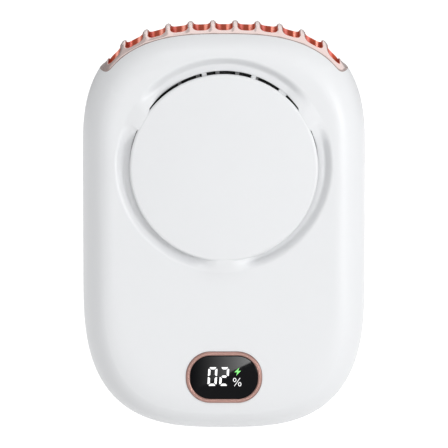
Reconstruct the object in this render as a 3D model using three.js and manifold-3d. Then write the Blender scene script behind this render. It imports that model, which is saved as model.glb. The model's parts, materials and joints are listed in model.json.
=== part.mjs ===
// A waist fan: a belt-worn blower that draws air in round a front disc and through slots in its back,
// and blows it up through a curved grille in its top edge. Millimetres, +Z up, the front faces -Y.
// The pieces are drawn with y = 0 half way through the casing and z = 0 at its lowest point.
import * as THREE from 'three';
import { mergeVertices } from 'three/addons/utils/BufferGeometryUtils.js';
import Module from 'manifold-3d';

// Fits
const FIT_GAP = 0.25;           // between pieces that seat on each other
const RUN_GAP = 0.5;            // between pieces that turn past each other

// Casing
const BODY_WIDTH = 78;
const BODY_HEIGHT = 112.4;
const BODY_DEPTH = 31;
const END_REACH = 45;           // height of each rounded end
const TOP_POWER = 3.4;          // squareness of the top end
const BASE_POWER = 2.95;        // squareness of the bottom end
const EDGE_WIDTH = 9;           // how far the rolled edge reaches in over the faces
const EDGE_POWER = 2.2;         // squareness of the rolled edge
const WALL = 1.8;
const SEAM_Y = 4;               // plane where the two covers meet
const LIP_WALL = 0.9;
const LIP_REACH = 1.6;

// Front recess, intake and disc
const BLOWER_DROP = 38;         // blower axis below the top edge
const DISC_RADIUS = 25.7;
const DISC_THICKNESS = 1.6;
const DISC_PROUD = 0.8;
const DISC_SOFT = 0.8;          // round over its rim
const DISC_STEM_RADIUS = 4;
const DISC_SHOULDER_RADIUS = 7;
const INTAKE_LAP = 0.15;        // intake edge inside the disc's rim
const INTAKE_RISE = 0.7;        // intake's centre above the disc's, so that it shows along the top
const RECESS_DEPTH = 2.6;
const RECESS_RING = 1.9;        // flat ring round the disc
const RECESS_RUN = 2.3;         // width of the soft step up to the front face
const FLOOR = 1.6;
const SPIDER_HUB_RADIUS = 12.5;
const SPIDER_RING_RADIUS = 19;   // outside of the ring that ties the ribs
const SPIDER_ARM = 6.6;
const SPIDER_TIE = 1.3;          // wall of that ring
const SPIDER_ARMS = 3;
const SPIDER_START = 30;         // degrees to the first arm
const SPIDER_RIBS = [[22, 2.6], [42, 1.3], [72, 1.3]];   // degrees after each arm, and widths

// Outlet grille
const GRILLE_MARGIN = 4.9;      // from the sides of the casing to the grille's ends
const GRILLE_DEPTH = 20;
const GRILLE_CORNER = 4.2;
const GRILLE_SLOTS = 11;
const GRILLE_PITCH = 6.15;
const GRILLE_RIB = 1.5;
const GRILLE_RIM = 1.9;
const GRILLE_SKIRT = 1.2;       // rim's wall below the ribs
const GRILLE_SLOT_CORNER = 2.2;
const GRILLE_RISE = 0.8;        // ribs stand this far above the casing's line
const CREST_POWER = 4;          // narrowness of the crests and of their run-out at the rim
const GRILLE_FLANGE = 1;
const GRILLE_LAP = 0.9;         // flange reach under the covers
const GRILLE_DROP = 12;         // grille's lowest edge below the casing's line at its ends

// Display
const DISPLAY_Z = 16.5;
const BEZEL_WIDTH = 20.9;
const BEZEL_HEIGHT = 14.3;
const BEZEL_CORNER = 6.5;
const BEZEL_RING = 1.16;
const BEZEL_PROUD = 0.4;
const WINDOW_THICKNESS = 1;
const WINDOW_LEDGE = 1;

// Blower
const IMPELLER_RADIUS = 24;
const BLADE_INNER_RADIUS = 17.5;
const BLADE_WALL = 0.8;
const BLADE_COUNT = 18;
const BLADE_LEAN = 20;          // degrees that each blade curves forward
const WEB = 1;
const TONGUE_GAP = 1.4;
const MOUTH_SLOPE = 0.8;        // rise of the flare from the tongue to the mouth
const TONGUE_ANGLE = 150;
const SCROLL_END_ANGLE = 380;
const SCROLL_MARGIN = 6;        // from the side of the casing to the widest scroll
const SCROLL_WALL = 1.2;
const SCROLL_PLATE = 1.4;
const EYE_RADIUS = 18;
const LUG_RADIUS = 3.4;
const LUG_ANGLES = [165, 225, 315];
const MOTOR_SPOKES = 3;
const MOTOR_SPOKE = 3.2;
const MOTOR_SPOKE_START = 90;   // degrees to the first spoke

// Motor
const SHAFT_RADIUS = 1;
const BEARING_RADIUS = 2.9;
const BEARING_LENGTH = 2.3;
const TUBE_WALL = 0.9;
const STATOR_RADIUS = 9.2;
const STATOR_STACK = 4.6;
const POLE_COUNT = 4;
const POLE_NECK = 3.2;
const POLE_SHOE = 0.9;
const POLE_START = 45;          // degrees to the first pole
const SHOE_SHARE = 0.85;        // of a pole's sector that its shoe covers
const COIL_WALL = 1.1;
const MAGNET_WALL = 1.25;
const CUP_WALL = 0.9;
const HUB_WALL = 1.2;
const MOTOR_BOARD = 1;

// Electronics
const BOARD_THICKNESS = 1.2;
const BOARD_WIDTH = 48;         // at most; it keeps clear of the low screws
const BOARD_MARGIN = 5;         // board's top edge below the blower
const USB_WIDTH = 8.94;
const USB_HEIGHT = 3.26;
const USB_DEPTH = 7.35;
const USB_SHELL = 0.3;
const USB_TONGUE_WIDTH = 6.69;
const USB_TONGUE = 0.7;
const SWITCH_HEIGHT = 3.5;
const SWITCH_SIDE = 6;
const SWITCH_LENGTH = 5;
const PLUNGER_RADIUS = 1;
const CELL_WIDTH = 44;
const CELL_THICKNESS = 10;
const CELL_CORNER = 2;
const TRAY_WALL = 1.2;
const TRAY_HEIGHT = 4;

// Power button
const BUTTON_DROP = 9.5;         // button centre below the board's top edge
const BUTTON_LENGTH = 10;
const BUTTON_WIDTH = 4.4;
const BUTTON_SUNK = 0.3;
const BUTTON_FLANGE = 1;
const BUTTON_STEM_RADIUS = 1.3;
const BUTTON_TRAVEL = 0.5;

// Rear intake
const REAR_SLOTS = 16;
const REAR_SLOT_START = 90;     // degrees to the first slot
const REAR_SLOT_WIDTH = 2;
const REAR_SLOT_INNER = 9.5;
const REAR_SLOT_OUTER = 21;

// Belt clip
const HINGE_DROP = 5;           // hinge below the lowest rear slot
const HINGE_STANDOFF = 3;
const CLIP_WIDTH = 24;
const CLIP_WALL = 2.2;
const BELT_ROOM = 5.5;
const JAW_Z = 10;
const JAW_LIP = 4.5;
const JAW_RAMP = 7;
const THUMB_REACH = 10;
const CLIP_CORNER = 4;
const PIN_RADIUS = 1.1;
const KNUCKLE_RADIUS = 2.2;
const LUG_WIDTH = 2.5;
const LUG_CENTRE = 7.4;
const SPRING_RADIUS = 1.9;
const SPRING_WIRE = 0.35;
const SPRING_TURNS = 2.5;
const SPRING_WIDTH = 6;
const SPRING_LEG = 6.6;
const BELT_HEIGHT = 28;         // middle of the belt above the casing's lowest point

// Screws
const SCREW_RADIUS = 1;
const SCREW_HEAD_RADIUS = 2;
const SCREW_HEAD = 1.3;
const SCREW_RIM = 0.8;          // straight side of the head
const BOSS_WALL = 1.9;
const BOSS_ROOT = 0.45;         // how far a boss runs into the curved wall
const CASE_SCREW_LENGTH = 14;
const SHORT_SCREW_LENGTH = 6;
const LOW_SCREW_EDGE = 11.5;    // low screws in from the side
const LOW_SCREW_Z = 21;
const HIGH_SCREW_EDGE = 8.5;    // high screws in from the side
const HIGH_SCREW_DROP = 20.5;   // high screws below the blower axis

// Smoothness of the facets
const END_STEPS = 9;            // along a quarter of the casing's outline
const EDGE_STEPS = 5;           // over its rolled edge
const INNER_END_STEPS = 6;      // the same on the surfaces inside it
const INNER_EDGE_STEPS = 3;
const RECESS_STEPS = 4;
const RIM_STEPS = 2;
const SPIRAL_STEPS = 18;
const BLADE_STEPS = 2;
const CREST_STEPS = 4;          // across one pitch of the grille
const CREST_ROWS = 4;
const COIL_STEPS = 10;          // points on one turn of the spring
const WIRE_STEPS = 12;          // facets along it
const ROUND = 26;
const MOTOR_ROUND = 12;
const SMALL_ROUND = 8;
const CORNER = 2;               // half the facets of a round corner
const WIDE_CORNER = 3;
const SLIM_CORNER = 1;
const MERGE_DISTANCE = 1e-4;    // points closer than this are one

// Places worked out from the sizes
const FRONT_Y = -BODY_DEPTH / 2;
const BACK_Y = BODY_DEPTH / 2;
const BLOWER_Z = BODY_HEIGHT - BLOWER_DROP;
const INTAKE_RADIUS = DISC_RADIUS - INTAKE_LAP;
const GRILLE_LENGTH = BODY_WIDTH - 2 * GRILLE_MARGIN;
const RECESS_FLOOR_RADIUS = DISC_RADIUS + RECESS_RING;
const RECESS_RADIUS = RECESS_FLOOR_RADIUS + RECESS_RUN;
const FLOOR_Y = FRONT_Y + RECESS_DEPTH;
const FLOOR_BACK_Y = FLOOR_Y + FLOOR;
const DISC_FRONT_Y = FRONT_Y - DISC_PROUD;
const DISC_BACK_Y = DISC_FRONT_Y + DISC_THICKNESS;
const SCROLL_FRONT_Y = FLOOR_BACK_Y + FIT_GAP;
const SCROLL_LID_Y = SCROLL_FRONT_Y + SCROLL_WALL;
const SCROLL_START = IMPELLER_RADIUS + TONGUE_GAP;
const SCROLL_END = BODY_WIDTH / 2 - SCROLL_MARGIN;
const SCROLL_INSET = WALL + GRILLE_FLANGE + 2 * FIT_GAP;
const DOWNWARDS = 270;
const BAY_TOP = BLOWER_Z - scrollRadius(DOWNWARDS) - SCROLL_WALL - RUN_GAP;
const BOARD_TOP = BAY_TOP - BOARD_MARGIN;
const BOARD_BACK_Y = -USB_HEIGHT / 2 - FIT_GAP;
const BOARD_FRONT_Y = BOARD_BACK_Y - BOARD_THICKNESS;
const BUTTON_Z = BOARD_TOP - BUTTON_DROP;
const CELL_BACK_Y = BACK_Y - WALL - FIT_GAP;
const CELL_FRONT_Y = CELL_BACK_Y - CELL_THICKNESS;
const HINGE_Y = BACK_Y + HINGE_STANDOFF;
const HINGE_Z = BLOWER_Z - REAR_SLOT_OUTER - HINGE_DROP;
const CLIP_INNER_Y = BACK_Y + BELT_ROOM;
const BOSS_RADIUS = SCREW_RADIUS + BOSS_WALL;
const SCREW_HOLE = SCREW_RADIUS + FIT_GAP;
const HEAD_HOLE = SCREW_HEAD_RADIUS + FIT_GAP;
const LOW_SCREW_X = BODY_WIDTH / 2 - LOW_SCREW_EDGE;
const BOARD_HALF = Math.min(BOARD_WIDTH / 2, LOW_SCREW_X - BOSS_RADIUS - FIT_GAP);

// Axial stack of the blower, from the front
const IMPELLER_FRONT_Y = SCROLL_LID_Y + 2 * RUN_GAP;
const HUB_FRONT_Y = IMPELLER_FRONT_Y + RUN_GAP;
const CUP_FRONT_Y = HUB_FRONT_Y + HUB_WALL + FIT_GAP;
const STATOR_FRONT_Y = CUP_FRONT_Y + CUP_WALL + 3 * RUN_GAP + COIL_WALL;
const STATOR_BACK_Y = STATOR_FRONT_Y + STATOR_STACK;
const CUP_BACK_Y = STATOR_BACK_Y + COIL_WALL + RUN_GAP;
const BOARD_RING_Y = CUP_BACK_Y + RUN_GAP;
const IMPELLER_BACK_Y = BOARD_RING_Y + MOTOR_BOARD;
const PLATE_Y = BOARD_RING_Y + MOTOR_BOARD + FIT_GAP;
const PLATE_BACK_Y = PLATE_Y + SCROLL_PLATE;
const TUBE_FRONT_Y = STATOR_FRONT_Y - RUN_GAP;
const MAGNET_RADIUS = STATOR_RADIUS + RUN_GAP + MAGNET_WALL;
const CUP_INNER_RADIUS = MAGNET_RADIUS + FIT_GAP;
const CUP_RADIUS = CUP_INNER_RADIUS + CUP_WALL;
const HUB_INNER_RADIUS = CUP_RADIUS + FIT_GAP;
const HUB_RADIUS = HUB_INNER_RADIUS + HUB_WALL;
const TUBE_INNER_RADIUS = BEARING_RADIUS + FIT_GAP;
const TUBE_RADIUS = TUBE_INNER_RADIUS + TUBE_WALL;
const BORE_RADIUS = SHAFT_RADIUS + FIT_GAP;
const CORE_BORE = TUBE_RADIUS + FIT_GAP;
const CORE_HUB_RADIUS = CORE_BORE + TUBE_WALL;

const wasm = await Module();
wasm.setup();

// Solids from closed three.js geometry, and back
function signedVolume(positions, triangles) {
  const a = new THREE.Vector3();
  const b = new THREE.Vector3();
  const c = new THREE.Vector3();
  let volume = 0;
  for (let i = 0; i < triangles.length; i += 3) {
    a.fromArray(positions, triangles[i] * 3);
    b.fromArray(positions, triangles[i + 1] * 3);
    c.fromArray(positions, triangles[i + 2] * 3);
    volume += a.dot(b.cross(c)) / 6;
  }
  return volume;
}

function solid(geometry) {
  const bare = new THREE.BufferGeometry();
  bare.setAttribute('position', geometry.getAttribute('position').clone());
  if (geometry.index) bare.setIndex(geometry.index.clone());
  const merged = mergeVertices(bare, MERGE_DISTANCE);
  const index = merged.index.array;
  const triangles = [];
  for (let i = 0; i < index.length; i += 3) {
    const [a, b, c] = [index[i], index[i + 1], index[i + 2]];
    if (a !== b && b !== c && c !== a) triangles.push(a, b, c);
  }
  const vertProperties = new Float32Array(merged.getAttribute('position').array);
  if (signedVolume(vertProperties, triangles) < 0) triangles.reverse();
  const triVerts = new Uint32Array(triangles);
  return new wasm.Manifold(new wasm.Mesh({ numProp: 3, vertProperties, triVerts }));
}

function geometryOf(body) {
  const mesh = body.getMesh();
  const geometry = new THREE.BufferGeometry();
  geometry.setAttribute('position', new THREE.BufferAttribute(mesh.vertProperties, 3));
  geometry.setIndex(new THREE.BufferAttribute(mesh.triVerts, 1));
  geometry.computeVertexNormals();
  return geometry;
}

function joined(bodies) {
  return bodies.reduce((sum, body) => sum.add(body));
}

// Plain forms
function block(x0, x1, y0, y1, z0, z1) {
  const geometry = new THREE.BoxGeometry(x1 - x0, y1 - y0, z1 - z0);
  return solid(geometry.translate((x0 + x1) / 2, (y0 + y1) / 2, (z0 + z1) / 2));
}

function rodY(x, z, radius, y0, y1, sides = SMALL_ROUND) {
  const geometry = new THREE.CylinderGeometry(radius, radius, y1 - y0, sides);
  return solid(geometry.translate(x, (y0 + y1) / 2, z));
}

function rodX(y, z, radius, x0, x1, sides = SMALL_ROUND) {
  const geometry = new THREE.CylinderGeometry(radius, radius, x1 - x0, sides);
  return solid(geometry.rotateZ(Math.PI / 2).translate((x0 + x1) / 2, y, z));
}

// A faceted hole whose flats keep the full radius
function boreY(x, z, radius, y0, y1, sides = SMALL_ROUND) {
  return rodY(x, z, radius / Math.cos(Math.PI / sides), y0, y1, sides);
}

function boreX(y, z, radius, x0, x1, sides = SMALL_ROUND) {
  return rodX(y, z, radius / Math.cos(Math.PI / sides), x0, x1, sides);
}

function revolved(profile, sides = ROUND) {
  const points = profile.map(([r, y]) => new THREE.Vector2(r, y));
  const geometry = new THREE.LatheGeometry([...points, points[0]], sides);
  return solid(geometry.translate(0, 0, BLOWER_Z));
}

function ring(inner, outer, y0, y1, sides = ROUND) {
  return revolved([[inner, y0], [outer, y0], [outer, y1], [inner, y1]], sides);
}

function turned(body, degrees) {
  const geometry = geometryOf(body).translate(0, 0, -BLOWER_Z);
  return solid(geometry.rotateY(-THREE.MathUtils.degToRad(degrees)).translate(0, 0, BLOWER_Z));
}

function prismX(shape, x0, x1) {
  const geometry = new THREE.ExtrudeGeometry(shape, {
    depth: x1 - x0, bevelEnabled: false, curveSegments: CORNER,
  });
  const axes = new THREE.Matrix4().makeBasis(
    new THREE.Vector3(0, 1, 0), new THREE.Vector3(0, 0, 1), new THREE.Vector3(1, 0, 0));
  return solid(geometry.applyMatrix4(axes).translate(x0, 0, 0));
}

function prismY(shape, y0, y1, segments = CORNER) {
  const geometry = new THREE.ExtrudeGeometry(shape, {
    depth: y1 - y0, bevelEnabled: false, curveSegments: segments,
  });
  return solid(geometry.rotateX(Math.PI / 2).translate(0, y1, 0));
}

function prismZ(shape, z0, z1, segments = CORNER) {
  const geometry = new THREE.ExtrudeGeometry(shape, {
    depth: z1 - z0, bevelEnabled: false, curveSegments: segments,
  });
  return solid(geometry.translate(0, 0, z0));
}

// A rectangle with round corners, centred at (u, v)
function rounded(u, v, width, height, corner) {
  const r = Math.min(corner, width / 2, height / 2);
  const [right, top] = [u + width / 2 - r, v + height / 2 - r];
  const [left, bottom] = [u - width / 2 + r, v - height / 2 + r];
  const shape = new THREE.Shape();
  shape.absarc(right, top, r, 0, Math.PI / 2);
  shape.absarc(left, top, r, Math.PI / 2, Math.PI);
  shape.absarc(left, bottom, r, Math.PI, Math.PI * 1.5);
  shape.absarc(right, bottom, r, Math.PI * 1.5, Math.PI * 2);
  return shape;
}

// The points that lie a given distance to the right of a path
function besidePath(path, distance) {
  return path.map((point, i) => {
    const before = path[Math.max(i - 1, 0)];
    const after = path[Math.min(i + 1, path.length - 1)];
    const first = i > 0 ? point.clone().sub(before).normalize() : after.clone().sub(point).normalize();
    const last = i < path.length - 1 ? after.clone().sub(point).normalize() : first;
    const normal = new THREE.Vector2(first.y + last.y, -first.x - last.x).normalize();
    const spread = normal.x * first.y - normal.y * first.x;
    return point.clone().addScaledVector(normal, distance / spread);
  });
}

function bandShape(path, width) {
  return new THREE.Shape([...path, ...besidePath(path, width).reverse()]);
}

// The casing's surface
// Each outline is two superellipse ends joined by straight sides, and the edge rolls over to flat faces.
function quarter(power, steps) {
  return Array.from({ length: steps + 1 }, (_, i) => {
    const t = (Math.PI / 2) * (i / steps);
    return [Math.cos(t) ** (2 / power), Math.sin(t) ** (2 / power)];
  });
}

function casingOutline(inset, steps) {
  const top = quarter(TOP_POWER, steps);
  const base = quarter(BASE_POWER, steps);
  const [a, b] = [BODY_WIDTH / 2 - inset, END_REACH - inset];
  const [low, high] = [END_REACH, BODY_HEIGHT - END_REACH];
  return [
    ...top.map(([u, v]) => [a * u, high + b * v]),
    ...top.slice(0, -1).reverse().map(([u, v]) => [-a * u, high + b * v]),
    ...base.map(([u, v]) => [-a * u, low - b * v]),
    ...base.slice(0, -1).reverse().map(([u, v]) => [a * u, low - b * v]),
  ];
}

// The whole casing, shrunk by an inset on every side
function casing(inset) {
  const outside = inset < WALL / 2;
  const edge = quarter(EDGE_POWER, outside ? EDGE_STEPS : INNER_EDGE_STEPS);
  const half = [...edge].reverse().map(([u, v]) => [(EDGE_WIDTH - inset) * (1 - u), -v]);
  const sections = [...half, ...edge.slice(1).map(([u, v]) => [(EDGE_WIDTH - inset) * (1 - u), v])];
  const depth = BODY_DEPTH / 2 - inset;
  const positions = [];
  const triangles = [];
  let count = 0;
  for (const [roll, v] of sections) {
    const outline = casingOutline(inset + roll, outside ? END_STEPS : INNER_END_STEPS);
    count = outline.length;
    for (const [x, z] of outline) positions.push(x, depth * v, z);
  }
  const rows = sections.length;
  for (let row = 0; row < rows - 1; row += 1) {
    for (let i = 0; i < count; i += 1) {
      const [a, b] = [row * count + i, row * count + ((i + 1) % count)];
      triangles.push(a, b, a + count, b, b + count, a + count);
    }
  }
  const last = (rows - 1) * count;
  for (let i = 1; i < count - 1; i += 1) {
    triangles.push(0, i + 1, i, last, last + i, last + i + 1);
  }
  const geometry = new THREE.BufferGeometry();
  geometry.setAttribute('position', new THREE.Float32BufferAttribute(positions, 3));
  geometry.setIndex(triangles);
  return solid(geometry);
}

// How far the rolled edge has moved in at a depth y, and the height of the top there
function edgeRoll(y) {
  const share = Math.min(Math.abs(y) / (BODY_DEPTH / 2), 1) ** EDGE_POWER;
  return EDGE_WIDTH * (1 - (1 - share) ** (1 / EDGE_POWER));
}

function topHeight(x, y) {
  const roll = edgeRoll(y);
  const share = Math.min(Math.abs(x) / (BODY_WIDTH / 2 - roll), 1) ** TOP_POWER;
  return BODY_HEIGHT - END_REACH + (END_REACH - roll) * (1 - share) ** (1 / TOP_POWER);
}

// The height of the inner floor at a place inside the walls
function floorHeight(x, y) {
  const depth = BODY_DEPTH / 2 - WALL;
  const share = Math.min(Math.abs(y) / depth, 1) ** EDGE_POWER;
  const roll = WALL + (EDGE_WIDTH - WALL) * (1 - (1 - share) ** (1 / EDGE_POWER));
  const across = Math.min(Math.abs(x) / (BODY_WIDTH / 2 - roll), 1) ** BASE_POWER;
  return END_REACH - (END_REACH - roll) * (1 - across) ** (1 / BASE_POWER);
}

// The blower's spiral, as a radius at an angle in degrees
function scrollRadius(angle) {
  const share = (angle - TONGUE_ANGLE) / (SCROLL_END_ANGLE - TONGUE_ANGLE);
  return SCROLL_START + (SCROLL_END - SCROLL_START) * share;
}

function atAngle(radius, angle) {
  const t = THREE.MathUtils.degToRad(angle);
  return new THREE.Vector2(radius * Math.cos(t), BLOWER_Z + radius * Math.sin(t));
}

// Places of the screws and lugs
const CASE_SCREWS = [-1, 1].flatMap((side) => [
  [side * LOW_SCREW_X, LOW_SCREW_Z],
  [side * (BODY_WIDTH / 2 - HIGH_SCREW_EDGE), BLOWER_Z - HIGH_SCREW_DROP],
]);
const CASE_HEAD_Y = SEAM_Y + BOSS_WALL + SCREW_HEAD;
const LUGS = LUG_ANGLES.map((angle) =>
  atAngle(scrollRadius(angle) + SCROLL_WALL + SCREW_HEAD_RADIUS + FIT_GAP, angle));
const BOARD_SCREWS = [-1, 1].map((side) => [side * (BOARD_HALF - BOSS_RADIUS - RUN_GAP),
  BOARD_TOP - BOSS_RADIUS - RUN_GAP]);

const outer = casing(0);
const inner = casing(WALL);
const clear = casing(WALL + FIT_GAP);
const shell = outer.subtract(inner);
const FAR = BODY_WIDTH + BODY_HEIGHT + BODY_DEPTH;   // reach of a cut that runs out of the part
const SIDE_X = BODY_WIDTH / 4;   // start of a cut that runs out of the side

// The grille's outline seen from above, grown by a margin
function grilleOutline(margin) {
  const size = 2 * margin;
  return rounded(0, 0, GRILLE_LENGTH + size, GRILLE_DEPTH + size, GRILLE_CORNER + margin);
}

function grilleColumn(margin) {
  const base = topHeight(GRILLE_LENGTH / 2, 0) - GRILLE_DROP - margin;
  return prismZ(grilleOutline(margin), base, BODY_HEIGHT + FAR);
}

function displayPocket(margin, y0, y1) {
  const [width, height] = [BEZEL_WIDTH + 2 * margin, BEZEL_HEIGHT + 2 * margin];
  return prismY(rounded(0, DISPLAY_Z, width, height, BEZEL_CORNER + margin), y0, y1, WIDE_CORNER);
}

function usbColumn(margin, z0, z1) {
  const [width, height] = [USB_WIDTH + 2 * margin, USB_HEIGHT + 2 * margin];
  return prismZ(rounded(0, 0, width, height, height / 2), z0, z1);
}

function buttonColumn(margin, x0, x1) {
  const [width, length] = [BUTTON_WIDTH + 2 * margin, BUTTON_LENGTH + 2 * margin];
  return prismX(rounded(0, BUTTON_Z, width, length, width / 2), x0, x1);
}

// Front cover
// The soft step of the recess, from its floor out to the face
function recessStep(shift, floorY, faceY) {
  return Array.from({ length: RECESS_STEPS + 1 }, (_, i) => {
    const t = i / RECESS_STEPS;
    const ease = 0.5 - 0.5 * Math.cos(Math.PI * t);
    return [RECESS_FLOOR_RADIUS + shift + RECESS_RUN * t, floorY + (faceY - floorY) * ease];
  });
}

function intakeOpenings() {
  const [y0, y1] = [FLOOR_Y - FLOOR, FLOOR_BACK_Y + FLOOR];
  const spoke = (width, angle) => turned(block(SPIDER_HUB_RADIUS / 2, RECESS_FLOOR_RADIUS, y0, y1,
    BLOWER_Z - width / 2, BLOWER_Z + width / 2), angle);
  const starts = Array.from({ length: SPIDER_ARMS }, (_, i) => SPIDER_START + (i * 360) / SPIDER_ARMS);
  const arms = joined(starts.map((start) => spoke(SPIDER_ARM, start)));
  const ribs = joined(starts.flatMap((start) =>
    SPIDER_RIBS.map(([angle, width]) => spoke(width, start + angle))));
  const eye = ring(SPIDER_HUB_RADIUS, SPIDER_RING_RADIUS - SPIDER_TIE, y0, y1, MOTOR_ROUND);
  const reach = rodY(0, BLOWER_Z + INTAKE_RISE, INTAKE_RADIUS, y0, y1, ROUND);
  const slots = reach.subtract(rodY(0, BLOWER_Z, SPIDER_RING_RADIUS, y0, y1, ROUND)).subtract(ribs);
  return eye.add(slots).subtract(arms);
}

function makeFrontCover() {
  const bowl = revolved([[0, FRONT_Y + WALL / 2], [0, FLOOR_BACK_Y],
    ...recessStep(WALL, FLOOR_BACK_Y, FRONT_Y + WALL),
    [RECESS_RADIUS + WALL, FRONT_Y + WALL / 2]]);
  const recess = revolved([[0, FRONT_Y - FAR], [0, FLOOR_Y], ...recessStep(0, FLOOR_Y, FRONT_Y),
    [RECESS_RADIUS, FRONT_Y - FAR]]);
  const seam = SEAM_Y - FIT_GAP / 2;
  const bosses = CASE_SCREWS.map(([x, z]) => rodY(x, z, BOSS_RADIUS, FRONT_Y + WALL / 2, seam));
  const posts = BOARD_SCREWS.map(([x, z]) =>
    rodY(x, z, BOSS_RADIUS, FRONT_Y + WALL / 2, BOARD_FRONT_Y - FIT_GAP));
  const holes = [
    ...CASE_SCREWS.map(([x, z]) => boreY(x, z, SCREW_HOLE, CASE_HEAD_Y - CASE_SCREW_LENGTH - FIT_GAP, FAR)),
    ...BOARD_SCREWS.map(([x, z]) =>
      boreY(x, z, SCREW_HOLE, BOARD_BACK_Y - SHORT_SCREW_LENGTH, FAR)),
  ];
  const half = shell.intersect(block(-FAR, FAR, -FAR, seam, -FAR, FAR));
  const massed = joined([half, joined([bowl, ...bosses, ...posts]).intersect(outer)]);
  const ledge = DISC_STEM_RADIUS + FIT_GAP;
  return massed.subtract(joined([
    recess, intakeOpenings(), ...holes,
    boreY(0, BLOWER_Z, ledge, FLOOR_Y - FLOOR, FLOOR_BACK_Y + FLOOR, ROUND),
    displayPocket(FIT_GAP, FRONT_Y - FAR, FRONT_Y + WINDOW_THICKNESS),
    displayPocket(-BEZEL_RING - WINDOW_LEDGE, FRONT_Y - FAR, FRONT_Y + 2 * WALL),
    grilleColumn(0),
    usbColumn(FIT_GAP, -FAR, USB_DEPTH),
    buttonColumn(FIT_GAP, SIDE_X, FAR),
  ]));
}

// Rear cover
function makeSeamLip() {
  const seam = SEAM_Y + FIT_GAP / 2;
  const [root, tip] = [seam + LIP_REACH, SEAM_Y - LIP_REACH];
  const inside = casing(WALL + FIT_GAP + LIP_WALL);
  const band = casing(WALL / 2).subtract(inside).intersect(block(-FAR, FAR, seam, root, -FAR, FAR));
  const tongue = clear.subtract(inside).intersect(block(-FAR, FAR, tip, root, -FAR, FAR));
  return band.add(tongue).subtract(joined([
    grilleColumn(GRILLE_LAP + FIT_GAP),
    usbColumn(2 * FIT_GAP, -FAR, USB_DEPTH),
    buttonColumn(BUTTON_FLANGE + FIT_GAP, SIDE_X, FAR),
  ]));
}

function makeTray() {
  const [side, wall] = [CELL_WIDTH / 2 + FIT_GAP, TRAY_WALL];
  const [low, high] = [cellBottom() - FIT_GAP, BAY_TOP - TRAY_WALL];
  const [y0, y1] = [BACK_Y - WALL - TRAY_HEIGHT, BACK_Y - WALL / 2];
  const frame = block(-side - wall, side + wall, y0, y1, low - wall, high);
  return frame.subtract(block(-side, side, y0 - TRAY_HEIGHT, y1, low, high + FAR)).intersect(outer);
}

function makeClipLugs() {
  const half = KNUCKLE_RADIUS;
  const shape = new THREE.Shape();
  shape.absarc(HINGE_Y, HINGE_Z, half, -Math.PI / 4, Math.PI / 4);
  shape.lineTo(BACK_Y - WALL / 2, HINGE_Z + 2 * half);
  shape.lineTo(BACK_Y - WALL / 2, HINGE_Z - 2 * half);
  return [-1, 1].map((side) => {
    const middle = side * LUG_CENTRE;
    return prismX(shape, middle - LUG_WIDTH / 2, middle + LUG_WIDTH / 2);
  });
}

function makeRearCover() {
  const seam = SEAM_Y + FIT_GAP / 2;
  const half = shell.intersect(block(-FAR, FAR, seam, FAR, -FAR, FAR));
  const bosses = CASE_SCREWS.map(([x, z]) =>
    rodY(x, z, HEAD_HOLE + WALL / 2, seam, BACK_Y - WALL + BOSS_ROOT));
  const posts = LUGS.map(({ x, y }) =>
    rodY(x, y, BOSS_RADIUS, PLATE_BACK_Y + FIT_GAP, BACK_Y - WALL / 2));
  const heads = CASE_SCREWS.map(([x, z]) => boreY(x, z, HEAD_HOLE, CASE_HEAD_Y - SCREW_HEAD - FIT_GAP, FAR));
  const holes = [
    ...CASE_SCREWS.map(([x, z]) => boreY(x, z, SCREW_HOLE, SEAM_Y - WALL, BACK_Y)),
    ...LUGS.map(({ x, y }) => boreY(x, y, SCREW_HOLE, PLATE_Y, PLATE_Y + SHORT_SCREW_LENGTH)),
  ];
  const slot = prismY(rounded((REAR_SLOT_INNER + REAR_SLOT_OUTER) / 2, BLOWER_Z,
    REAR_SLOT_OUTER - REAR_SLOT_INNER, REAR_SLOT_WIDTH, REAR_SLOT_WIDTH / 2),
    BACK_Y - 2 * WALL, FAR, SLIM_CORNER);
  const slots = Array.from({ length: REAR_SLOTS }, (_, i) =>
    turned(slot, REAR_SLOT_START + (i * 360) / REAR_SLOTS));
  const lugs = makeClipLugs();
  return joined([half, makeSeamLip(), ...bosses, ...posts, makeTray(), ...lugs]).subtract(joined([
    ...heads, ...holes, ...slots,
    grilleColumn(0),
    boreX(HINGE_Y, HINGE_Z, PIN_RADIUS + FIT_GAP, -CLIP_WIDTH, CLIP_WIDTH),
  ]));
}

// Intake disc on its stem, with a soft rim
function makeDisc() {
  const rim = Array.from({ length: RIM_STEPS + 1 }, (_, i) => {
    const t = (Math.PI / 2) * (i / RIM_STEPS);
    return [DISC_RADIUS + DISC_SOFT * (Math.sin(t) - 1), DISC_FRONT_Y + DISC_SOFT * (1 - Math.cos(t))];
  });
  return revolved([[0, DISC_FRONT_Y], ...rim, [DISC_RADIUS, DISC_BACK_Y],
    [DISC_SHOULDER_RADIUS, DISC_BACK_Y], [DISC_SHOULDER_RADIUS, FLOOR_Y - FIT_GAP],
    [DISC_STEM_RADIUS, FLOOR_Y - FIT_GAP], [DISC_STEM_RADIUS, FLOOR_BACK_Y], [0, FLOOR_BACK_Y]]);
}

// Outlet grille
// Its surface follows the casing's top and swells into a crest along every rib.
function grilleHeight(x, y) {
  const along = x / GRILLE_PITCH + GRILLE_SLOTS / 2;
  const crest = Math.abs(Math.cos(Math.PI * along)) ** CREST_POWER;
  const across = Math.max(1 - Math.abs(2 * y / GRILLE_DEPTH) ** CREST_POWER, 0);
  return topHeight(x, y) + GRILLE_RISE * crest * across;
}

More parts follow.
